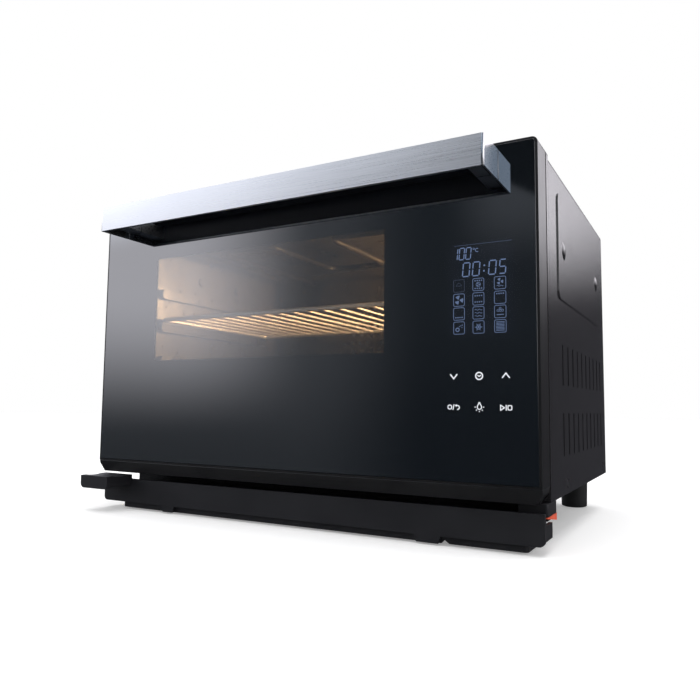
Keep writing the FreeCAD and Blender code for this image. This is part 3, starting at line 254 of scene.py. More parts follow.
def cavityEnamel():
    look = enamelLook
    finish = Finish("cavityEnamel")
    grains = finish.noise(look["fleckScale"], detail=1.0)
    flecks = ((grains - look["fleckShare"]) * look["fleckEdge"]).held()
    ripple = finish.noise(look["ripple"])
    low, high = look["roughness"]
    return finish.close(finish.surface({
        "Base Color": finish.blend(flecks, look["ground"], look["fleck"]),
        "Roughness": finish.spread(ripple, low, high),
        "Specular IOR Level": look["gloss"],
        "Normal": finish.bump(ripple, look["bumpStrength"], look["bumpDepth"]),
    }))


# bare metals, all brushed or drawn along one direction


def brushedMetal(name, look):
    lineShare = 0.7
    finish = Finish(name)
    lines = finish.noise(look["lines"], detail=3.0, stretch=look["along"], roughness=0.65)
    clouds = finish.noise(look["clouds"], detail=3.0)
    tone = finish.shared(lines, clouds, lineShare)
    low, high = look["roughness"]
    return finish.close(finish.surface({
        "Base Color": finish.blend(finish.spread(tone, 0.0, 1.0), look["dark"], look["light"]),
        "Metallic": 1.0,
        "Roughness": finish.spread(lines, low, high),
        "Anisotropic": look["drawn"],
        "Normal": finish.bump(lines, look["bumpStrength"], look["bumpDepth"]),
    }))


handleLook = {
    "light": (0.80, 0.80, 0.81),
    "dark": (0.66, 0.66, 0.675),
    "lines": 900.0,
    "along": (0.012, 0.35, 1.6),
    "clouds": 14.0,
    "roughness": (0.24, 0.36),
    "drawn": 0.3,
    "bumpStrength": 0.08,
    "bumpDepth": 0.00005,
}

sheetLook = {
    "light": (0.40, 0.405, 0.41),
    "dark": (0.32, 0.325, 0.33),
    "lines": 500.0,
    "along": (0.03, 1.0, 1.0),
    "clouds": 14.0,
    "roughness": (0.34, 0.46),
    "drawn": 0.0,
    "bumpStrength": 0.10,
    "bumpDepth": 0.0001,
}

screwLook = {
    "light": (0.30, 0.30, 0.31),
    "dark": (0.12, 0.12, 0.13),
    "lines": 1400.0,
    "along": (1.0, 1.0, 1.0),
    "clouds": 300.0,
    "roughness": (0.28, 0.45),
    "drawn": 0.0,
    "bumpStrength": 0.10,
    "bumpDepth": 0.00005,
}

aluminiumLook = {
    "light": (0.74, 0.75, 0.76),
    "dark": (0.55, 0.56, 0.58),
    "lines": 600.0,
    "along": (1.0, 0.3, 1.0),
    "clouds": 80.0,
    "roughness": (0.30, 0.46),
    "drawn": 0.0,
    "bumpStrength": 0.15,
    "bumpDepth": 0.0001,
}

motorLook = {
    "light": (0.22, 0.22, 0.23),
    "dark": (0.09, 0.09, 0.095),
    "lines": 450.0,
    "along": (1.0, 1.0, 1.0),
    "clouds": 50.0,
    "roughness": (0.40, 0.62),
    "drawn": 0.0,
    "bumpStrength": 0.3,
    "bumpDepth": 0.0002,
}

rackLook = {
    "light": (0.92, 0.90, 0.87),
    "dark": (0.72, 0.70, 0.66),
    "lines": 500.0,
    "along": (1.0, 0.1, 1.0),
    "clouds": 50.0,
    "roughness": (0.34, 0.46),
    "drawn": 0.0,
    "bumpStrength": 0.05,
    "bumpDepth": 0.00005,
}

pipeLook = {
    "light": (0.66, 0.66, 0.67),
    "dark": (0.46, 0.46, 0.48),
    "lines": 800.0,
    "along": (1.0, 1.0, 0.2),
    "clouds": 60.0,
    "roughness": (0.20, 0.34),
    "drawn": 0.0,
    "bumpStrength": 0.08,
    "bumpDepth": 0.00005,
}


# moulded plastics and rubbers


def moulded(name, look):
    grainShare = 0.6
    finish = Finish(name)
    grain = finish.noise(look["grain"], detail=3.0)
    clouds = finish.noise(look["clouds"], detail=3.0)
    low, high = look["roughness"]
    return finish.close(finish.surface({
        "Base Color": finish.blend(finish.spread(clouds, 0.0, 1.0), look["dark"], look["light"]),
        "Roughness": finish.spread(finish.shared(grain, clouds, grainShare), low, high),
        "Specular IOR Level": look["gloss"],
        "Normal": finish.bump(grain, look["bumpStrength"], look["bumpDepth"]),
    }))


doorPlasticLook = {
    "light": (0.0095, 0.0093, 0.0100),
    "dark": (0.0065, 0.0064, 0.0070),
    "grain": 1800.0,
    "clouds": 30.0,
    "roughness": (0.26, 0.34),
    "gloss": 0.5,
    "bumpStrength": 0.3,
    "bumpDepth": 0.0001,
}

trayPlasticLook = {
    "light": (0.0120, 0.0118, 0.0145),
    "dark": (0.0088, 0.0086, 0.0108),
    "grain": 2200.0,
    "clouds": 26.0,
    "roughness": (0.45, 0.60),
    "gloss": 0.4,
    "bumpStrength": 0.45,
    "bumpDepth": 0.00012,
}

footPlasticLook = {
    "light": (0.0150, 0.0148, 0.0150),
    "dark": (0.0100, 0.0100, 0.0104),
    "grain": 1600.0,
    "clouds": 60.0,
    "roughness": (0.50, 0.62),
    "gloss": 0.4,
    "bumpStrength": 0.3,
    "bumpDepth": 0.0001,
}

sealLook = {
    "light": (0.030, 0.029, 0.028),
    "dark": (0.018, 0.0175, 0.017),
    "grain": 900.0,
    "clouds": 120.0,
    "roughness": (0.55, 0.75),
    "gloss": 0.35,
    "bumpStrength": 0.4,
    "bumpDepth": 0.00015,
}

padLook = {
    "light": (0.040, 0.040, 0.040),
    "dark": (0.022, 0.022, 0.022),
    "grain": 1200.0,
    "clouds": 150.0,
    "roughness": (0.70, 0.85),
    "gloss": 0.3,
    "bumpStrength": 0.5,
    "bumpDepth": 0.00015,
}

plugLook = {
    "light": (0.80, 0.118, 0.050),
    "dark": (0.66, 0.080, 0.032),
    "grain": 1300.0,
    "clouds": 160.0,
    "roughness": (0.38, 0.52),
    "gloss": 0.5,
    "bumpStrength": 0.25,
    "bumpDepth": 0.0001,
}

heaterLook = {
    "light": (0.0040, 0.0036, 0.0034),
    "dark": (0.0020, 0.0018, 0.0017),
    "grain": 700.0,
    "clouds": 60.0,
    "roughness": (0.10, 0.16),
    "gloss": 0.3,
    "bumpStrength": 0.05,
    "bumpDepth": 0.0001,
}

ceramicLook = {
    "light": (0.72, 0.69, 0.63),
    "dark": (0.58, 0.55, 0.50),
    "grain": 1100.0,
    "clouds": 140.0,
    "roughness": (0.35, 0.50),
    "gloss": 0.5,
    "bumpStrength": 0.25,
    "bumpDepth": 0.0001,
}

pumpPlasticLook = {
    "light": (0.050, 0.050, 0.052),
    "dark": (0.032, 0.032, 0.034),
    "grain": 1500.0,
    "clouds": 90.0,
    "roughness": (0.36, 0.50),
    "gloss": 0.5,
    "bumpStrength": 0.25,
    "bumpDepth": 0.0001,
}

displayBlackLook = {
    "light": (0.010, 0.011, 0.014),
    "dark": (0.006, 0.0065, 0.008),
    "grain": 2400.0,
    "clouds": 60.0,
    "roughness": (0.14, 0.24),
    "gloss": 0.5,
    "bumpStrength": 0.05,
    "bumpDepth": 0.00005,
}


boardLook = {
    "mask": (0.012, 0.085, 0.040),
    "copper": (0.030, 0.150, 0.075),
    "tracks": 420.0,
    "trackWidth": 0.62,
    "trackEdge": 12.0,
    "roughness": (0.30, 0.42),
    "bumpStrength": 0.3,
    "bumpDepth": 0.0001,
}


def boardLacquer():
    look = boardLook
    finish = Finish("boardLacquer")
    tracks = finish.cells(look["tracks"])
    raised = ((tracks - look["trackWidth"]) * look["trackEdge"] + halfWay).held()
    low, high = look["roughness"]
    return finish.close(finish.surface({
        "Base Color": finish.blend(raised, look["mask"], look["copper"]),
        "Roughness": finish.spread(raised, low, high),
        "Normal": finish.bump(raised, look["bumpStrength"], look["bumpDepth"]),
    }))


woolLook = {
    "light": (0.66, 0.63, 0.55),
    "dark": (0.40, 0.37, 0.31),
    "fibres": 420.0,
    "fibreStretch": (1.0, 0.25, 0.6),
    "fibreShare": 0.6,
    "clumps": 45.0,
    "roughness": (0.85, 1.0),
    "sheen": 0.3,
    "bumpStrength": 0.8,
    "bumpDepth": 0.0015,
}


def woolBlanket():
    look = woolLook
    finish = Finish("woolBlanket")
    fibres = finish.noise(look["fibres"], detail=6.0, stretch=look["fibreStretch"], roughness=0.7)
    clumps = finish.noise(look["clumps"], detail=4.0)
    felt = finish.shared(fibres, clumps, look["fibreShare"])
    low, high = look["roughness"]
    return finish.close(finish.surface({
        "Base Color": finish.blend(finish.spread(fibres, 0.0, 1.0), look["dark"], look["light"]),
        "Roughness": finish.spread(clumps, low, high),
        "Sheen Weight": look["sheen"],
        "Normal": finish.bump(felt, look["bumpStrength"], look["bumpDepth"]),
    }))


tankLook = {
    "tint": (0.050, 0.052, 0.056),
    "milky": (0.085, 0.088, 0.095),
    "waves": 40.0,
    "roughness": (0.12, 0.24),
    "coat": (0.5, 0.7),
    "coatRoughness": 0.08,
    "bumpStrength": 0.1,
    "bumpDepth": 0.0003,
}


def tankPlastic():
    look = tankLook
    finish = Finish("tankPlastic")
    waves = finish.noise(look["waves"])
    low, high = look["roughness"]
    thin, thick = look["coat"]
    return finish.close(finish.surface({
        "Base Color": finish.blend(waves, look["tint"], look["milky"]),
        "Roughness": finish.spread(waves, low, high),
        "Coat Roughness": look["coatRoughness"],
        "Coat Weight": finish.spread(waves, thin, thick),
        "Normal": finish.bump(waves, look["bumpStrength"], look["bumpDepth"]),
    }))


# glass

doorGlassLook = {
    "print": (0.0020, 0.0024, 0.0034),
    "printSheen": (0.0028, 0.0033, 0.0046),
    "windowX": (-175.0 * mm, 115.0 * mm),
    "windowZ": (170.5 * mm, 287.4 * mm),
    "windowEdge": 1.4 * mm,
    "windowTint": (0.80, 0.80, 0.82),
    "windowSmear": (0.76, 0.76, 0.78),
    "smears": 7.0,
    "roughness": (0.03, 0.075),
    "gloss": 0.5,
    "coatIor": 4.0,          # a half-mirror coat, on the front face only
    "coatDepth": 0.10 * mm,
    "coatRoughness": 0.035,
    "groundEdge": 0.45,      # added roughness where the glass has been cut and ground
    "displayX": (180.0 * mm, 235.0 * mm),
    "displayZ": (182.0 * mm, 263.0 * mm),
    "displayEdge": 9.0 * mm,
    "displayGlow": (0.0030, 0.0036, 0.0068),
    "unlit": (0.0, 0.0, 0.0),
}


def patchMask(finish, xs, zs, edge):  # 1 inside an upright rectangle of the door, fading over its edge
    middleX = (xs[0] + xs[1]) / 2
    middleZ = (zs[0] + zs[1]) / 2
    insideX = ((xs[1] - xs[0]) / 2 - abs(finish.axis("X") - middleX)) / edge + halfWay
    insideZ = ((zs[1] - zs[0]) / 2 - abs(finish.axis("Z") - middleZ)) / edge + halfWay
    return insideX.held() * insideZ.held()


def doorGlass():
    look = doorGlassLook
    finish = Finish("doorGlass")
    window = patchMask(finish, look["windowX"], look["windowZ"], look["windowEdge"])
    display = patchMask(finish, look["displayX"], look["displayZ"], look["displayEdge"])
    coat = ((doorFace + look["coatDepth"] - finish.axis("Y")) / look["coatDepth"]).held()
    smears = finish.noise(look["smears"], detail=4.0)
    low, high = look["roughness"]
    roughness = finish.spread(smears, low, high)
    printed = finish.surface({
        "Base Color": finish.blend(smears, look["print"], look["printSheen"]),
        "Roughness": roughness + (1.0 - coat) * look["groundEdge"],
        "Specular IOR Level": look["gloss"],
        "Coat Weight": coat,
        "Coat IOR": look["coatIor"],
        "Coat Roughness": look["coatRoughness"],
        "Emission Color": finish.blend(display, look["unlit"], look["displayGlow"]),
        "Emission Strength": 1.0,
    })
    clear = finish.surface({
        "Base Color": finish.blend(smears, look["windowTint"], look["windowSmear"]),
        "Roughness": roughness,
        "Specular IOR Level": look["gloss"],
        "Coat Weight": coat,
        "Coat IOR": look["coatIor"],
        "Coat Roughness": look["coatRoughness"],
        "Transmission Weight": 1.0,
    })
    return finish.close(finish.node("MixShader", {}, {0: window, 1: printed, 2: clear}))


paneLook = {
    "tint": (0.80, 0.84, 0.82),
    "smear": (0.74, 0.77, 0.76),
    "smears": 18.0,
    "roughness": (0.01, 0.04),
    "gloss": 0.08,
}


def clearPane():
    look = paneLook
    finish = Finish("clearPane")
    smears = finish.noise(look["smears"], detail=4.0)
    low, high = look["roughness"]
    return finish.close(finish.surface({
        "Base Color": finish.blend(smears, look["tint"], look["smear"]),
        "Roughness": finish.spread(smears, low, high),
        "Specular IOR Level": look["gloss"],
        "Transmission Weight": 1.0,
    }))


bulbLook = {
    "glow": (1.0, 0.62, 0.30),
    "rim": (1.0, 0.50, 0.18),
    "strength": 6.0,
    "mottle": 200.0,
    "light": (0.9, 0.8, 0.7),
    "dark": (0.8, 0.7, 0.6),
    "roughness": (0.08, 0.16),
}


def bulbGlass():
    look = bulbLook
    finish = Finish("bulbGlass")
    mottle = finish.noise(look["mottle"])
    low, high = look["roughness"]
    return finish.close(finish.surface({
        "Base Color": finish.blend(mottle, look["light"], look["dark"]),
        "Roughness": finish.spread(mottle, low, high),
        "Emission Color": finish.blend(mottle, look["rim"], look["glow"]),
        "Emission Strength": look["strength"],
    }))


def dressFrame():
    finishes = {
        "casing_black": casingPaint(),
        "cavity_enamel": cavityEnamel(),
        "steel_sheet": brushedMetal("plainSheetSteel", sheetLook),
        "screw_steel": brushedMetal("blackScrewSteel", screwLook),
        "black_glass": doorGlass(),
        "clear_glass": clearPane(),
        "bulb_glass": bulbGlass(),
        "door_plastic": moulded("doorPlastic", doorPlasticLook),
        "handle_steel": brushedMetal("handleSteel", handleLook),
        "tray_plastic": moulded("trayPlastic", trayPlasticLook),
        "seal_rubber": moulded("sealRubber", sealLook),
        "foot_plastic": moulded("footPlastic", footPlasticLook),
        "pad_rubber": moulded("padRubber", padLook),
        "plug_silicone": moulded("plugSilicone", plugLook),
        "heater_metal": moulded("heaterSheath", heaterLook),
        "fan_aluminium": brushedMetal("fanAluminium", aluminiumLook),
        "motor_metal": brushedMetal("motorIron", motorLook),
        "lamp_ceramic": moulded("lampCeramic", ceramicLook),
        "rack_chrome": brushedMetal("rackChrome", rackLook),
        "pipe_steel": brushedMetal("pipeSteel", pipeLook),
        "wool_blanket": woolBlanket(),
        "pump_plastic": moulded("pumpPlastic", pumpPlasticLook),
        "tank_plastic": tankPlastic(),
        "board_green": boardLacquer(),
        "display_black": moulded("displayBlack", displayBlackLook),
    }
    for part in frame["record"]["subparts"]:
        node = frame["nodes"][part["node"]]
        for slot in node.material_slots:
            slot.material = finishes[part["material_slot"]]


edgeLook = {
    "weld": 0.01 * mm,
    "segments": 2,
    "sharpest": 40.0,  # degrees
}

softEdges = {
    "handle_shell": 0.5 * mm,
    "handle_liner": 0.4 * mm,
    "door_frame": 0.4 * mm,
    "door_bottom_trim": 0.5 * mm,
    "tray_fascia": 0.6 * mm,
    "drain_plug": 0.5 * mm,
    "drain_block": 0.4 * mm,
    "feet": 0.6 * mm,
    "front_frame": 0.4 * mm,
}


def softenEdges():
    for name, width in softEdges.items():
        node = frame["nodes"][name]
        weld = node.modifiers.new("joinedCorners", "WELD")
        weld.merge_threshold = edgeLook["weld"]
        bevel = node.modifiers.new("softEdge", "BEVEL")
        bevel.width = width
        bevel.segments = edgeLook["segments"]
        bevel.limit_method = "ANGLE"
        bevel.angle_limit = math.radians(edgeLook["sharpest"])
        bevel.harden_normals = True
    print("edges softened on", len(softEdges), "nodes")


# light inside the oven

ovenLight = {
    "colour": (1.0, 0.60, 0.30),
    "power": 36.0,
    "radius": 0.012,
    "clear": 0.016,
}


def addOvenLight():
    low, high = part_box("lamp_lens")
    data = bpy.data.lights.new("ovenLight", "POINT")
    data.color = ovenLight["colour"]
    data.energy = ovenLight["power"]
    data.shadow_soft_size = ovenLight["radius"]
    light = bpy.data.objects.new("ovenLight", data)
    middle = (low + high) / 2
    light.location = (low.x - ovenLight["clear"], middle.y, middle.z)
    bpy.context.scene.collection.objects.link(light)
    print("oven light on")


# what is printed on the door glass, or shines through it, drawn in millimetres across and up the door

inkLook = {
    "proud": 0.10 * mm,      # from the glass to the middle of the ink
    "thickness": 0.08 * mm,
    "dotSides": 16,
    "ringSides": 40,
    "leastLean": 0.5,        # holds the width of a line where it turns sharply
}

fullTurn = 360.0  # degrees
halfTurn = 180.0


class Drawing:
    def __init__(self):
        self.mesh = bmesh.new()

    def corner(self, point):
        return self.mesh.verts.new((point[0] * mm, 0.0, point[1] * mm))

    def line(self, points, width, closed=False):
        points = [Vector(point) for point in points]
        count = len(points)
        rows = []
        for index, point in enumerate(points):
            before = points[index - 1] if index or closed else None
            after = points[(index + 1) % count] if index < count - 1 or closed else None
            arrive = (point - before).normalized() if before else (after - point).normalized()
            leave = (after - point).normalized() if after else arrive
            along = (arrive + leave).normalized()
            across = Vector((-along.y, along.x))
            reach = width / 2 / max(inkLook["leastLean"], along.dot(leave))
            rows.append((self.corner(point + across * reach), self.corner(point - across * reach)))
        if closed:
            rows.append(rows[0])
        for (a, b), (c, d) in zip(rows, rows[1:]):
            self.mesh.faces.new((a, b, d, c))

    def patch(self, points):
        self.mesh.faces.new([self.corner(point) for point in points])

    def dot(self, centre, radius):
        self.patch(circle(centre, radius, inkLook["dotSides"]))

    def ring(self, centre, radius, width):
        self.line(circle(centre, radius, inkLook["ringSides"]), width, closed=True)

    def place(self, name, material, body):
        data = bpy.data.meshes.new(name)
        bmesh.ops.recalc_face_normals(self.mesh, faces=self.mesh.faces)
        self.mesh.to_mesh(data)
        self.mesh.free()
        data.transform(Matrix.Translation((0.0, doorFace - inkLook["proud"], 0.0)))
        piece = bpy.data.objects.new(name, data)
        piece.data.materials.append(material)
        bpy.context.scene.collection.objects.link(piece)
        thicken = piece.modifiers.new("inkThickness", "SOLIDIFY")
        thicken.thickness = inkLook["thickness"]
        thicken.offset = 0.0
        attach(piece, body)


def circle(centre, radius, count, start=0.0, turn=fullTurn):
    points = []
    steps = count if turn == fullTurn else count - 1
    for index in range(count):
        angle = math.radians(start + turn * index / steps)
        points.append((centre[0] + radius * math.cos(angle), centre[1] + radius * math.sin(angle)))
    return points


def roundedBox(centre, halfWide, halfHigh, corner):
    quarter = 90.0
    sides = 4
    points = []
    for index, (signX, signZ) in enumerate(((1, 1), (-1, 1), (-1, -1), (1, -1))):
        middle = (centre[0] + signX * (halfWide - corner), centre[1] + signZ * (halfHigh - corner))
        points += circle(middle, corner, sides, index * quarter, quarter)
    return points


def beside(centre, offset):
    return (centre[0] + offset[0], centre[1] + offset[1])


def around(centre, offsets):
    return [beside(centre, offset) for offset in offsets]


# ink that glows in one of two colours, over a near-black base

inkBase = {
    "dark": (0.010, 0.012, 0.018),
    "light": (0.014, 0.016, 0.022),
    "roughness": (0.25, 0.35),
}

glowLook = {
    "core": (0.36, 0.50, 0.86),
    "edge": (0.22, 0.34, 0.66),
    "mottle": 900.0,
}

keyLook = {
    "core": (0.96, 0.97, 1.0),
    "edge": (0.88, 0.90, 0.96),
    "mottle": 700.0,
}


def glowInk(name, strength, look=glowLook):
    finish = Finish(name)
    mottle = finish.noise(look["mottle"], detail=1.0)
    low, high = inkBase["roughness"]
    return finish.close(finish.surface({
        "Base Color": finish.blend(mottle, inkBase["dark"], inkBase["light"]),
        "Roughness": finish.spread(mottle, low, high),
        "Emission Color": finish.blend(mottle, look["edge"], look["core"]),
        "Emission Strength": strength,
    }))


readout = {
    "temperature": (("1", 182.6, 186.9), ("0", 188.6, 193.0), ("0", 194.6, 199.0)),
    "temperatureZ": (250.0, 260.2),
    "temperatureWidth": 0.8,
    "clock": (("0", 191.8, 197.8), ("0", 200.7, 206.7), ("0", 215.1, 221.1), ("5", 224.3, 229.7)),
    "clockZ": (234.8, 246.8),
    "clockWidth": 0.95,
    "slant": 0.09,
    "gap": 0.55,             # between the bars of a figure, as a share of their width
    "colonAt": ((210.6, 238.4), (211.0, 243.2)),
    "colonRadius": 0.75,
    "degreeAt": (201.6, 258.6),
    "degreeRadius": 0.7,
    "degreeWidth": 0.35,
    "celsiusAt": (204.6, 257.3),
    "celsiusRadius": 1.5,
    "celsiusSides": 14,
    "celsiusStart": 50.0,
    "celsiusTurn": 260.0,
    "celsiusWidth": 0.5,
    "topLine": ((184.0, 262.7), (235.0, 262.7)),
    "topLineWidth": 0.35,
    "strength": 0.42,
    "faintStrength": 0.14,
}

segmentMap = {
    "0": "abcdef",
    "1": "bc",
    "5": "acdfg",
}


def addDigit(drawing, figure, low, high, width):
    gap = width * readout["gap"]
    middle = (low[1] + high[1]) / 2
    bars = {
        "a": ((low[0] + gap, high[1]), (high[0] - gap, high[1])),
        "b": ((high[0], high[1] - gap), (high[0], middle + gap)),
        "c": ((high[0], middle - gap), (high[0], low[1] + gap)),
        "d": ((low[0] + gap, low[1]), (high[0] - gap, low[1])),
        "e": ((low[0], middle - gap), (low[0], low[1] + gap)),
        "f": ((low[0], high[1] - gap), (low[0], middle + gap)),
        "g": ((low[0] + gap, middle), (high[0] - gap, middle)),
    }
    for name in segmentMap[figure]:
        drawing.line([(x + (z - middle) * readout["slant"], z) for x, z in bars[name]], width)


def addReadout():
    look = readout
    drawing = Drawing()
    for kind in ("temperature", "clock"):
        low, high = look[kind + "Z"]
        for figure, left, right in look[kind]:
            addDigit(drawing, figure, (left, low), (right, high), look[kind + "Width"])
    for spot in look["colonAt"]:
        drawing.dot(spot, look["colonRadius"])
    drawing.ring(look["degreeAt"], look["degreeRadius"], look["degreeWidth"])
    celsius = circle(look["celsiusAt"], look["celsiusRadius"], look["celsiusSides"],
                     look["celsiusStart"], look["celsiusTurn"])
    drawing.line(celsius, look["celsiusWidth"])
    drawing.place("displayReadout", glowInk("readoutGlow", look["strength"]), "door")
    rule = Drawing()
    rule.line(look["topLine"], look["topLineWidth"])
    rule.place("displayTopLine", glowInk("faintGlow", look["faintStrength"]), "door")


modeGrid = {
    "columns": (188.05, 205.55, 224.55),
    "rows": (226.95, 214.45, 202.25, 189.9),
    "halfWide": 4.95,
    "halfHigh": 5.35,
    "corner": 1.3,
    "frameWidth": 0.5,
    "bright": 0.33,
    "dim": 0.06,
}

# measures of the pictures in the grid, each from the middle of its own square
pictures = {
    "ink": 0.42,
    "bladeStarts": (80.0, 200.0, 320.0),
    "bladeTurn": 62.0,
    "bladeSides": 6,
    "hubShare": 0.22,
    "hubLead": 70.0,
    "hubTurn": -50.0,
    "hubSides": 3,
    "dotSteps": (-1.5, -0.5, 0.5, 1.5),
    "dotGap": 1.9,
    "dotRadius": 0.62,
    "waveSides": 12,
    "waveCrests": 2,
    "waveSwell": 0.45,
    "bakeRows": 3.4,
    "bakeRing": 1.9,
    "bakeFan": 1.5,
    "steamFanLift": 1.2,
    "steamFan": 2.8,
    "steamFanDrop": -2.6,
    "hotAirFan": 3.9,
    "bothRows": 2.7,
    "singleRow": 3.2,
    "waveDrops": (2.7, 0.0, -2.7),
    "waveReach": 3.3,
    "puffs": ((-1.9, 0.9), (0.0, 0.9), (1.9, 0.9)),
    "puffRadius": 0.9,
    "topPuff": (0.0, 2.8),
    "topPuffRadius": 0.8,
    "puffInk": 0.4,
    "steamBar": ((-3.0, -2.6), (3.0, -2.6)),
    "steamBarInk": 0.7,
    "thawRing": (-1.4, -1.5),
    "thawRadius": 1.5,
    "thawInk": 0.8,
    "thawDrops": ((0.4, 1.2), (1.7, 1.8), (3.0, 2.4)),
    "thawDropRadius": 0.45,
    "lastDrop": (2.6, 0.4),
    "lastDropRadius": 0.4,
    "frostTurns": (0.0, 60.0, 120.0),
    "frostReach": 3.3,
    "frostInk": 0.5,
    "frostRing": 1.9,
    "frostRingInk": 0.45,
    "plateBars": 7,
    "plateTop": 3.6,
    "plateStep": 1.2,
    "plateReach": 3.6,
    "plateInk": 0.55,
    "clockRadius": 2.2,
    "clockSides": 12,
    "clockLine": ((-2.8, 0.0), (2.8, 0.0)),
}


def fanPicture(drawing, centre, reach):
    look = pictures
    for start in look["bladeStarts"]:
        outer = circle(centre, reach, look["bladeSides"], start, look["bladeTurn"])
        inner = circle(centre, reach * look["hubShare"], look["hubSides"],
                       start + look["hubLead"], look["hubTurn"])
        drawing.patch(outer + inner)


def dotRow(drawing, centre, drop):
    for step in pictures["dotSteps"]:
        spot = (centre[0] + step * pictures["dotGap"], centre[1] + drop)
        drawing.dot(spot, pictures["dotRadius"])


def waveLine(drawing, centre, drop, reach):
    points = []
    for index in range(pictures["waveSides"] + 1):
        along = index / pictures["waveSides"]
        swell = math.sin(along * 2 * pictures["waveCrests"] * math.pi) * pictures["waveSwell"]
        points.append((centre[0] - reach + 2 * reach * along, centre[1] + drop + swell))
    drawing.line(points, pictures["ink"])


def bakePicture(drawing, centre):
    dotRow(drawing, centre, pictures["bakeRows"])
    dotRow(drawing, centre, -pictures["bakeRows"])
    drawing.ring(centre, pictures["bakeRing"], pictures["ink"])
    fanPicture(drawing, centre, pictures["bakeFan"])


def steamFanPicture(drawing, centre):
    raised = (centre[0], centre[1] + pictures["steamFanLift"])
    fanPicture(drawing, raised, pictures["steamFan"])
    waveLine(drawing, centre, pictures["steamFanDrop"], pictures["steamFan"])


def hotAirPicture(drawing, centre):
    fanPicture(drawing, centre, pictures["hotAirFan"])


def bothHeatPicture(drawing, centre):
    dotRow(drawing, centre, pictures["bothRows"])
    dotRow(drawing, centre, -pictures["bothRows"])


def topHeatPicture(drawing, centre):
    dotRow(drawing, centre, pictures["singleRow"])


def bottomHeatPicture(drawing, centre):
    dotRow(drawing, centre, -pictures["singleRow"])


def wavePicture(drawing, centre):
    for drop in pictures["waveDrops"]:
        waveLine(drawing, centre, drop, pictures["waveReach"])


def steamPicture(drawing, centre):
    look = pictures
    for spot in around(centre, look["puffs"]):
        drawing.ring(spot, look["puffRadius"], look["puffInk"])
    drawing.ring(beside(centre, look["topPuff"]), look["topPuffRadius"], look["puffInk"])
    drawing.line(around(centre, look["steamBar"]), look["steamBarInk"])


def thawPicture(drawing, centre):
    look = pictures
    drawing.ring(beside(centre, look["thawRing"]), look["thawRadius"], look["thawInk"])
    for spot in around(centre, look["thawDrops"]):
        drawing.dot(spot, look["thawDropRadius"])
    drawing.dot(beside(centre, look["lastDrop"]), look["lastDropRadius"])


def frostPicture(drawing, centre):
    for turn in pictures["frostTurns"]:
        drawing.line(circle(centre, pictures["frostReach"], 2, turn, halfTurn), pictures["frostInk"])
    drawing.ring(centre, pictures["frostRing"], pictures["frostRingInk"])


def platePicture(drawing, centre):
    look = pictures
    for step in range(look["plateBars"]):
        drop = look["plateTop"] - step * look["plateStep"]
        bar = ((-look["plateReach"], drop), (look["plateReach"], drop))
        drawing.line(around(centre, bar), look["plateInk"])


def clockPicture(drawing, centre):
    arc = circle(centre, pictures["clockRadius"], pictures["clockSides"], 0.0, halfTurn)
    drawing.line(arc, pictures["ink"])
    drawing.line(around(centre, pictures["clockLine"]), pictures["ink"])


modePictures = (
    (clockPicture, bakePicture, steamFanPicture),
    (hotAirPicture, bothHeatPicture, topHeatPicture),
    (bottomHeatPicture, wavePicture, steamPicture),
    (thawPicture, frostPicture, platePicture),
)


def addModeIcons():
    look = modeGrid
    lit = glowInk("iconGlow", look["bright"])
    unlit = glowInk("iconUnlit", look["dim"])
    for row, z in enumerate(look["rows"]):
        for column, x in enumerate(look["columns"]):
            drawing = Drawing()
            frameLine = roundedBox((x, z), look["halfWide"], look["halfHigh"], look["corner"])
            drawing.line(frameLine, look["frameWidth"], closed=True)
            modePictures[row][column](drawing, (x, z))
            ink = unlit if row + column == 0 else lit
            drawing.place(f"modeIcon_{row}_{column}", ink, "door")
    print("mode icons drawn")


touchKeys = {
    "down": (183.05, 147.8),
    "timer": (205.8, 147.95),
    "up": (228.85, 148.0),
    "power": (183.15, 121.3),
    "lamp": (205.85, 121.7),
    "start": (228.75, 121.15),
    "strength": 0.95,
}

# measures of the drawing on each key, from the middle of the key
keyMarks = {
    "chevron": ((-3.2, -2.0), (0.0, 2.0), (3.2, -2.0)),
    "chevronInk": 1.0,
    "timerRing": 3.0,
    "timerRingInk": 1.05,
    "timerHands": ((-1.5, 0.7), (0.0, -0.5), (1.5, 0.7)),
    "timerInk": 0.8,
    "powerRing": (-3.7, 0.0),
    "powerRingRadius": 1.75,
    "powerRingInk": 0.85,
    "powerSlash": ((-0.9, -2.4), (0.2, 2.4)),
    "powerSlashInk": 0.8,
    "powerBend": (3.2, -0.3),
    "powerBendRadius": 1.7,
    "powerBendSides": 12,
    "powerBendStart": -100.0,
    "powerBendTurn": 200.0,
    "powerBendEnd": (1.4, 1.37),
    "powerBendInk": 0.85,
    "powerArrow": ((0.9, 1.4), (2.5, 2.7), (2.5, 0.1)),
    "bulbAt": (0.0, -0.2),
    "bulbRadius": 1.9,
    "bulbSides": 14,
    "bulbStart": 150.0,
    "bulbTurn": 240.0,
    "bulbNeck": ((0.7, 2.7), (-0.7, 2.7)),
    "bulbInk": 0.75,
    "bulbCap": ((-0.8, 3.7), (0.8, 3.7)),
    "rayAngles": (180.0, 225.0, 270.0, 315.0, 360.0),
    "rayReach": (3.1, 4.2),
    "rayInk": 0.7,
    "startTriangle": ((-4.6, -2.1), (-4.6, 2.1), (-1.3, 0.0)),
    "startSlash": ((0.1, -2.4), (0.1, 2.4)),
    "startInk": 0.8,
    "startBoxAt": (3.2, 0.0),
    "startBox": (1.6, 1.8, 0.8),  # half width, half height, corner
    "startBoxInk": 0.85,
}


def drawChevron(drawing, centre, side):
    points = [(x, z * side) for x, z in keyMarks["chevron"]]
    drawing.line(around(centre, points), keyMarks["chevronInk"])


def drawDown(drawing, centre):
    drawChevron(drawing, centre, -1.0)


def drawUp(drawing, centre):
    drawChevron(drawing, centre, 1.0)


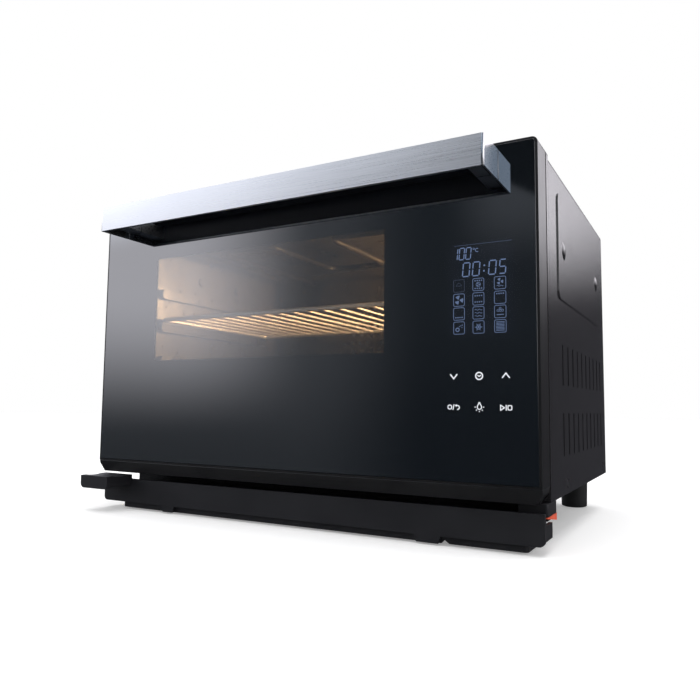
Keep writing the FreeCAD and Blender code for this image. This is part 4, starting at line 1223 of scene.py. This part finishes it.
def drawTimer(drawing, centre):
    drawing.ring(centre, keyMarks["timerRing"], keyMarks["timerRingInk"])
    drawing.line(around(centre, keyMarks["timerHands"]), keyMarks["timerInk"])


def drawPower(drawing, centre):
    look = keyMarks
    drawing.ring(beside(centre, look["powerRing"]), look["powerRingRadius"], look["powerRingInk"])
    drawing.line(around(centre, look["powerSlash"]), look["powerSlashInk"])
    bend = circle(beside(centre, look["powerBend"]), look["powerBendRadius"], look["powerBendSides"],
                  look["powerBendStart"], look["powerBendTurn"])
    bend.append(beside(centre, look["powerBendEnd"]))
    drawing.line(bend, look["powerBendInk"])
    drawing.patch(around(centre, look["powerArrow"]))


def drawLamp(drawing, centre):
    look = keyMarks
    bulbAt = beside(centre, look["bulbAt"])
    bulb = circle(bulbAt, look["bulbRadius"], look["bulbSides"], look["bulbStart"], look["bulbTurn"])
    drawing.line(bulb + around(centre, look["bulbNeck"]), look["bulbInk"], closed=True)
    drawing.line(around(centre, look["bulbCap"]), look["rayInk"])
    for angle in look["rayAngles"]:
        ray = [circle(bulbAt, reach, 1, angle)[0] for reach in look["rayReach"]]
        drawing.line(ray, look["rayInk"])


def drawStart(drawing, centre):
    look = keyMarks
    drawing.line(around(centre, look["startTriangle"]), look["startInk"], closed=True)
    drawing.line(around(centre, look["startSlash"]), look["startInk"])
    box = roundedBox(beside(centre, look["startBoxAt"]), *look["startBox"])
    drawing.line(box, look["startBoxInk"], closed=True)


def addTouchKeys():
    ink = glowInk("keyGlow", touchKeys["strength"], keyLook)
    keys = {
        "down": drawDown,
        "timer": drawTimer,
        "up": drawUp,
        "power": drawPower,
        "lamp": drawLamp,
        "start": drawStart,
    }
    for name, draw in keys.items():
        drawing = Drawing()
        draw(drawing, touchKeys[name])
        drawing.place("touchKey_" + name, ink, "door")


# studio: a soft box overhead, pale paper below, and air whose bright and dark sides only reflections show

topBox = {
    "at": (0.1, -0.2, 1.9),
    "size": (1.8, 1.4),
    "power": 22.0,
    "colour": (1.0, 0.99, 0.98),
}


def addTopBox():
    data = bpy.data.lights.new("topBox", "AREA")
    data.shape = "RECTANGLE"
    data.size, data.size_y = topBox["size"]
    data.energy = topBox["power"]
    data.color = topBox["colour"]
    lamp = bpy.data.objects.new("topBox", data)
    lamp.location = topBox["at"]
    bpy.context.scene.collection.objects.link(lamp)


# a Rise, an Edge or a Drop is the sine of an angle above or below the horizon
# a Turn, a Start or a Stop is in radians: from straight in front, or for rear values from straight behind
# mid, left and high turns count towards the left, and panel, end and rear turns towards the right
studioAir = {
    "seen": (1.0, 1.0, 1.0),         # the air behind the oven
    "soft": (0.86, 0.86, 0.87),      # the light that the air sheds on matt surfaces
    "dark": (0.012, 0.016, 0.021),
    "dim": (0.023, 0.029, 0.036),
    "dimRise": (-0.06, 0.20),
    "black": (0.009, 0.012, 0.015),
    "blackEdge": 0.197,      # the lower edge of a black panel, straight in front
    "blackSlope": 0.48,      # how much that edge climbs for each radian to the left
    "blackSoft": 0.006,
    "panelGlow": (0.085, 0.095, 0.110),
    "panelTurn": (-0.37, -0.27),
    "panelRise": (0.20, 0.31),
    "midLow": (0.048, 0.054, 0.062),
    "midHigh": (0.100, 0.108, 0.122),
    "midTurn": (0.38, 0.60),
    "midRise": (-0.10, 0.12),
    "leftGlow": (0.84, 0.84, 0.91),
    "leftTurn": (0.56, 0.785),
    "leftRise": (-0.045, 0.165),
    "highGlow": (1.14, 1.21, 1.34),
    "highLeft": (2.10, 2.20, 2.46),
    "highTurn": (0.53, 0.82),
    "highSlope": 0.30,
    "highRise": (0.47, 0.57),
    "highStart": (0.27, 0.33),
    "highStop": (1.6, 2.0),
    "lowGlow": (0.028, 0.033, 0.042),
    "lowDrop": (0.15, 0.28),
    "rearShade": (0.05, 0.05, 0.058),
    "rearTurn": (0.30, 0.60),        # to either side
    "rearGlow": (2.45, 2.38, 2.53),
    "rearGlowTurn": (0.125, 0.215),
    "rearGlowStop": (0.9, 1.4),
    "rearRise": (0.142, 0.28),
    "endGlow": (0.44, 0.58, 0.77),
    "endTurn": (0.05, 0.20),
    "endStop": (0.55, 0.85),
    "endRise": (0.15, 0.28),
    "sideGlow": (1.9, 1.9, 2.0),
    "sideTurn": (0.70, 0.98),        # sines, 1 being straight to the right
}


def addStudioAir():
    look = studioAir
    world = bpy.data.worlds.new("studioAir")
    world.use_nodes = True
    air = Finish("studioAir", world)

    def axis(name):
        way = air.node("TexCoord", result="Generated")
        return air.node("SeparateXYZ", {}, {"Vector": way}, result=name)

    def between(value, name):
        low, high = look[name]
        return value.rise(low, high)

    height = axis("Z")
    frontTurn = (-axis("X")).turnFrom(-axis("Y"))
    rearTurn = axis("X").turnFrom(axis("Y"))
    room = air.blend(between(height, "dimRise"), look["dark"], look["dim"])
    panel = between(height, "panelRise") * between(-frontTurn, "panelTurn")
    room = air.blend(panel, room, look["panelGlow"])
    middle = air.blend(between(height, "midRise"), look["midLow"], look["midHigh"])
    room = air.blend(between(frontTurn, "midTurn"), room, middle)
    edge = height - frontTurn * look["blackSlope"] - look["blackEdge"]
    room = air.blend(edge.rise(-look["blackSoft"], look["blackSoft"]), room, look["black"])
    room = air.blend(between(frontTurn, "leftTurn") * between(height, "leftRise"), room, look["leftGlow"])
    room = air.blend(between(-height, "lowDrop"), room, look["lowGlow"])
    climb = height + frontTurn * look["highSlope"]
    front = between(frontTurn, "highStart") * (1.0 - between(frontTurn, "highStop"))
    high = air.blend(between(frontTurn, "highTurn"), look["highGlow"], look["highLeft"])
    room = air.blend(between(climb, "highRise") * front, room, high)
    right = between(axis("X"), "sideTurn") * between(height, "leftRise")
    room = air.blend(right, room, look["sideGlow"])
    behind = 1.0 - between(abs(rearTurn), "rearTurn")
    room = air.blend(behind, room, look["rearShade"])
    rear = between(rearTurn, "rearGlowTurn") * between(height, "rearRise")
    room = air.blend(rear * (1.0 - between(rearTurn, "rearGlowStop")), room, look["rearGlow"])
    rightTurn = -frontTurn
    end = between(rightTurn, "endTurn") * (1.0 - between(rightTurn, "endStop"))
    room = air.blend(end * between(height, "endRise"), room, look["endGlow"])
    glossy = air.node("LightPath", result="Is Glossy Ray")
    seen = air.node("LightPath", result="Is Camera Ray")
    colour = air.blend(seen, air.blend(glossy, look["soft"], room), look["seen"])
    sky = air.node("Background", {}, {"Color": colour, "Strength": 1.0})
    air.node("OutputWorld", {}, {"Surface": sky})
    bpy.context.scene.world = world


floorLook = {
    "paper": (0.93, 0.93, 0.93),
    "shaded": (0.90, 0.90, 0.90),
    "clouds": 2.0,
    "roughness": 0.9,
    "gloss": 0.1,
    "lift": 0.27,
    "liftDark": (0.98, 0.98, 0.98),
    "liftLight": (1.0, 1.0, 1.0),
    "reach": 9.0,
    "sides": 96,
}


def addFloor():
    look = floorLook
    mesh = bmesh.new()
    bmesh.ops.create_circle(mesh, cap_ends=True, segments=look["sides"], radius=look["reach"])
    data = bpy.data.meshes.new("studioFloor")
    mesh.to_mesh(data)
    mesh.free()
    floor = bpy.data.objects.new("studioFloor", data)
    bpy.context.scene.collection.objects.link(floor)
    finish = Finish("studioPaper")
    clouds = finish.noise(look["clouds"])
    data.materials.append(finish.close(finish.surface({
        "Base Color": finish.blend(clouds, look["shaded"], look["paper"]),
        "Roughness": look["roughness"],
        "Specular IOR Level": look["gloss"],
        "Emission Color": finish.blend(clouds, look["liftDark"], look["liftLight"]),
        "Emission Strength": look["lift"],
    })))
    floor.visible_glossy = False


addCamera(cameraPlace)
addTopBox()
addStudioAir()
addFloor()
print("studio ready")
dressFrame()
softenEdges()
addOvenLight()
addReadout()
addModeIcons()
addTouchKeys()
print("readout and touch keys drawn")
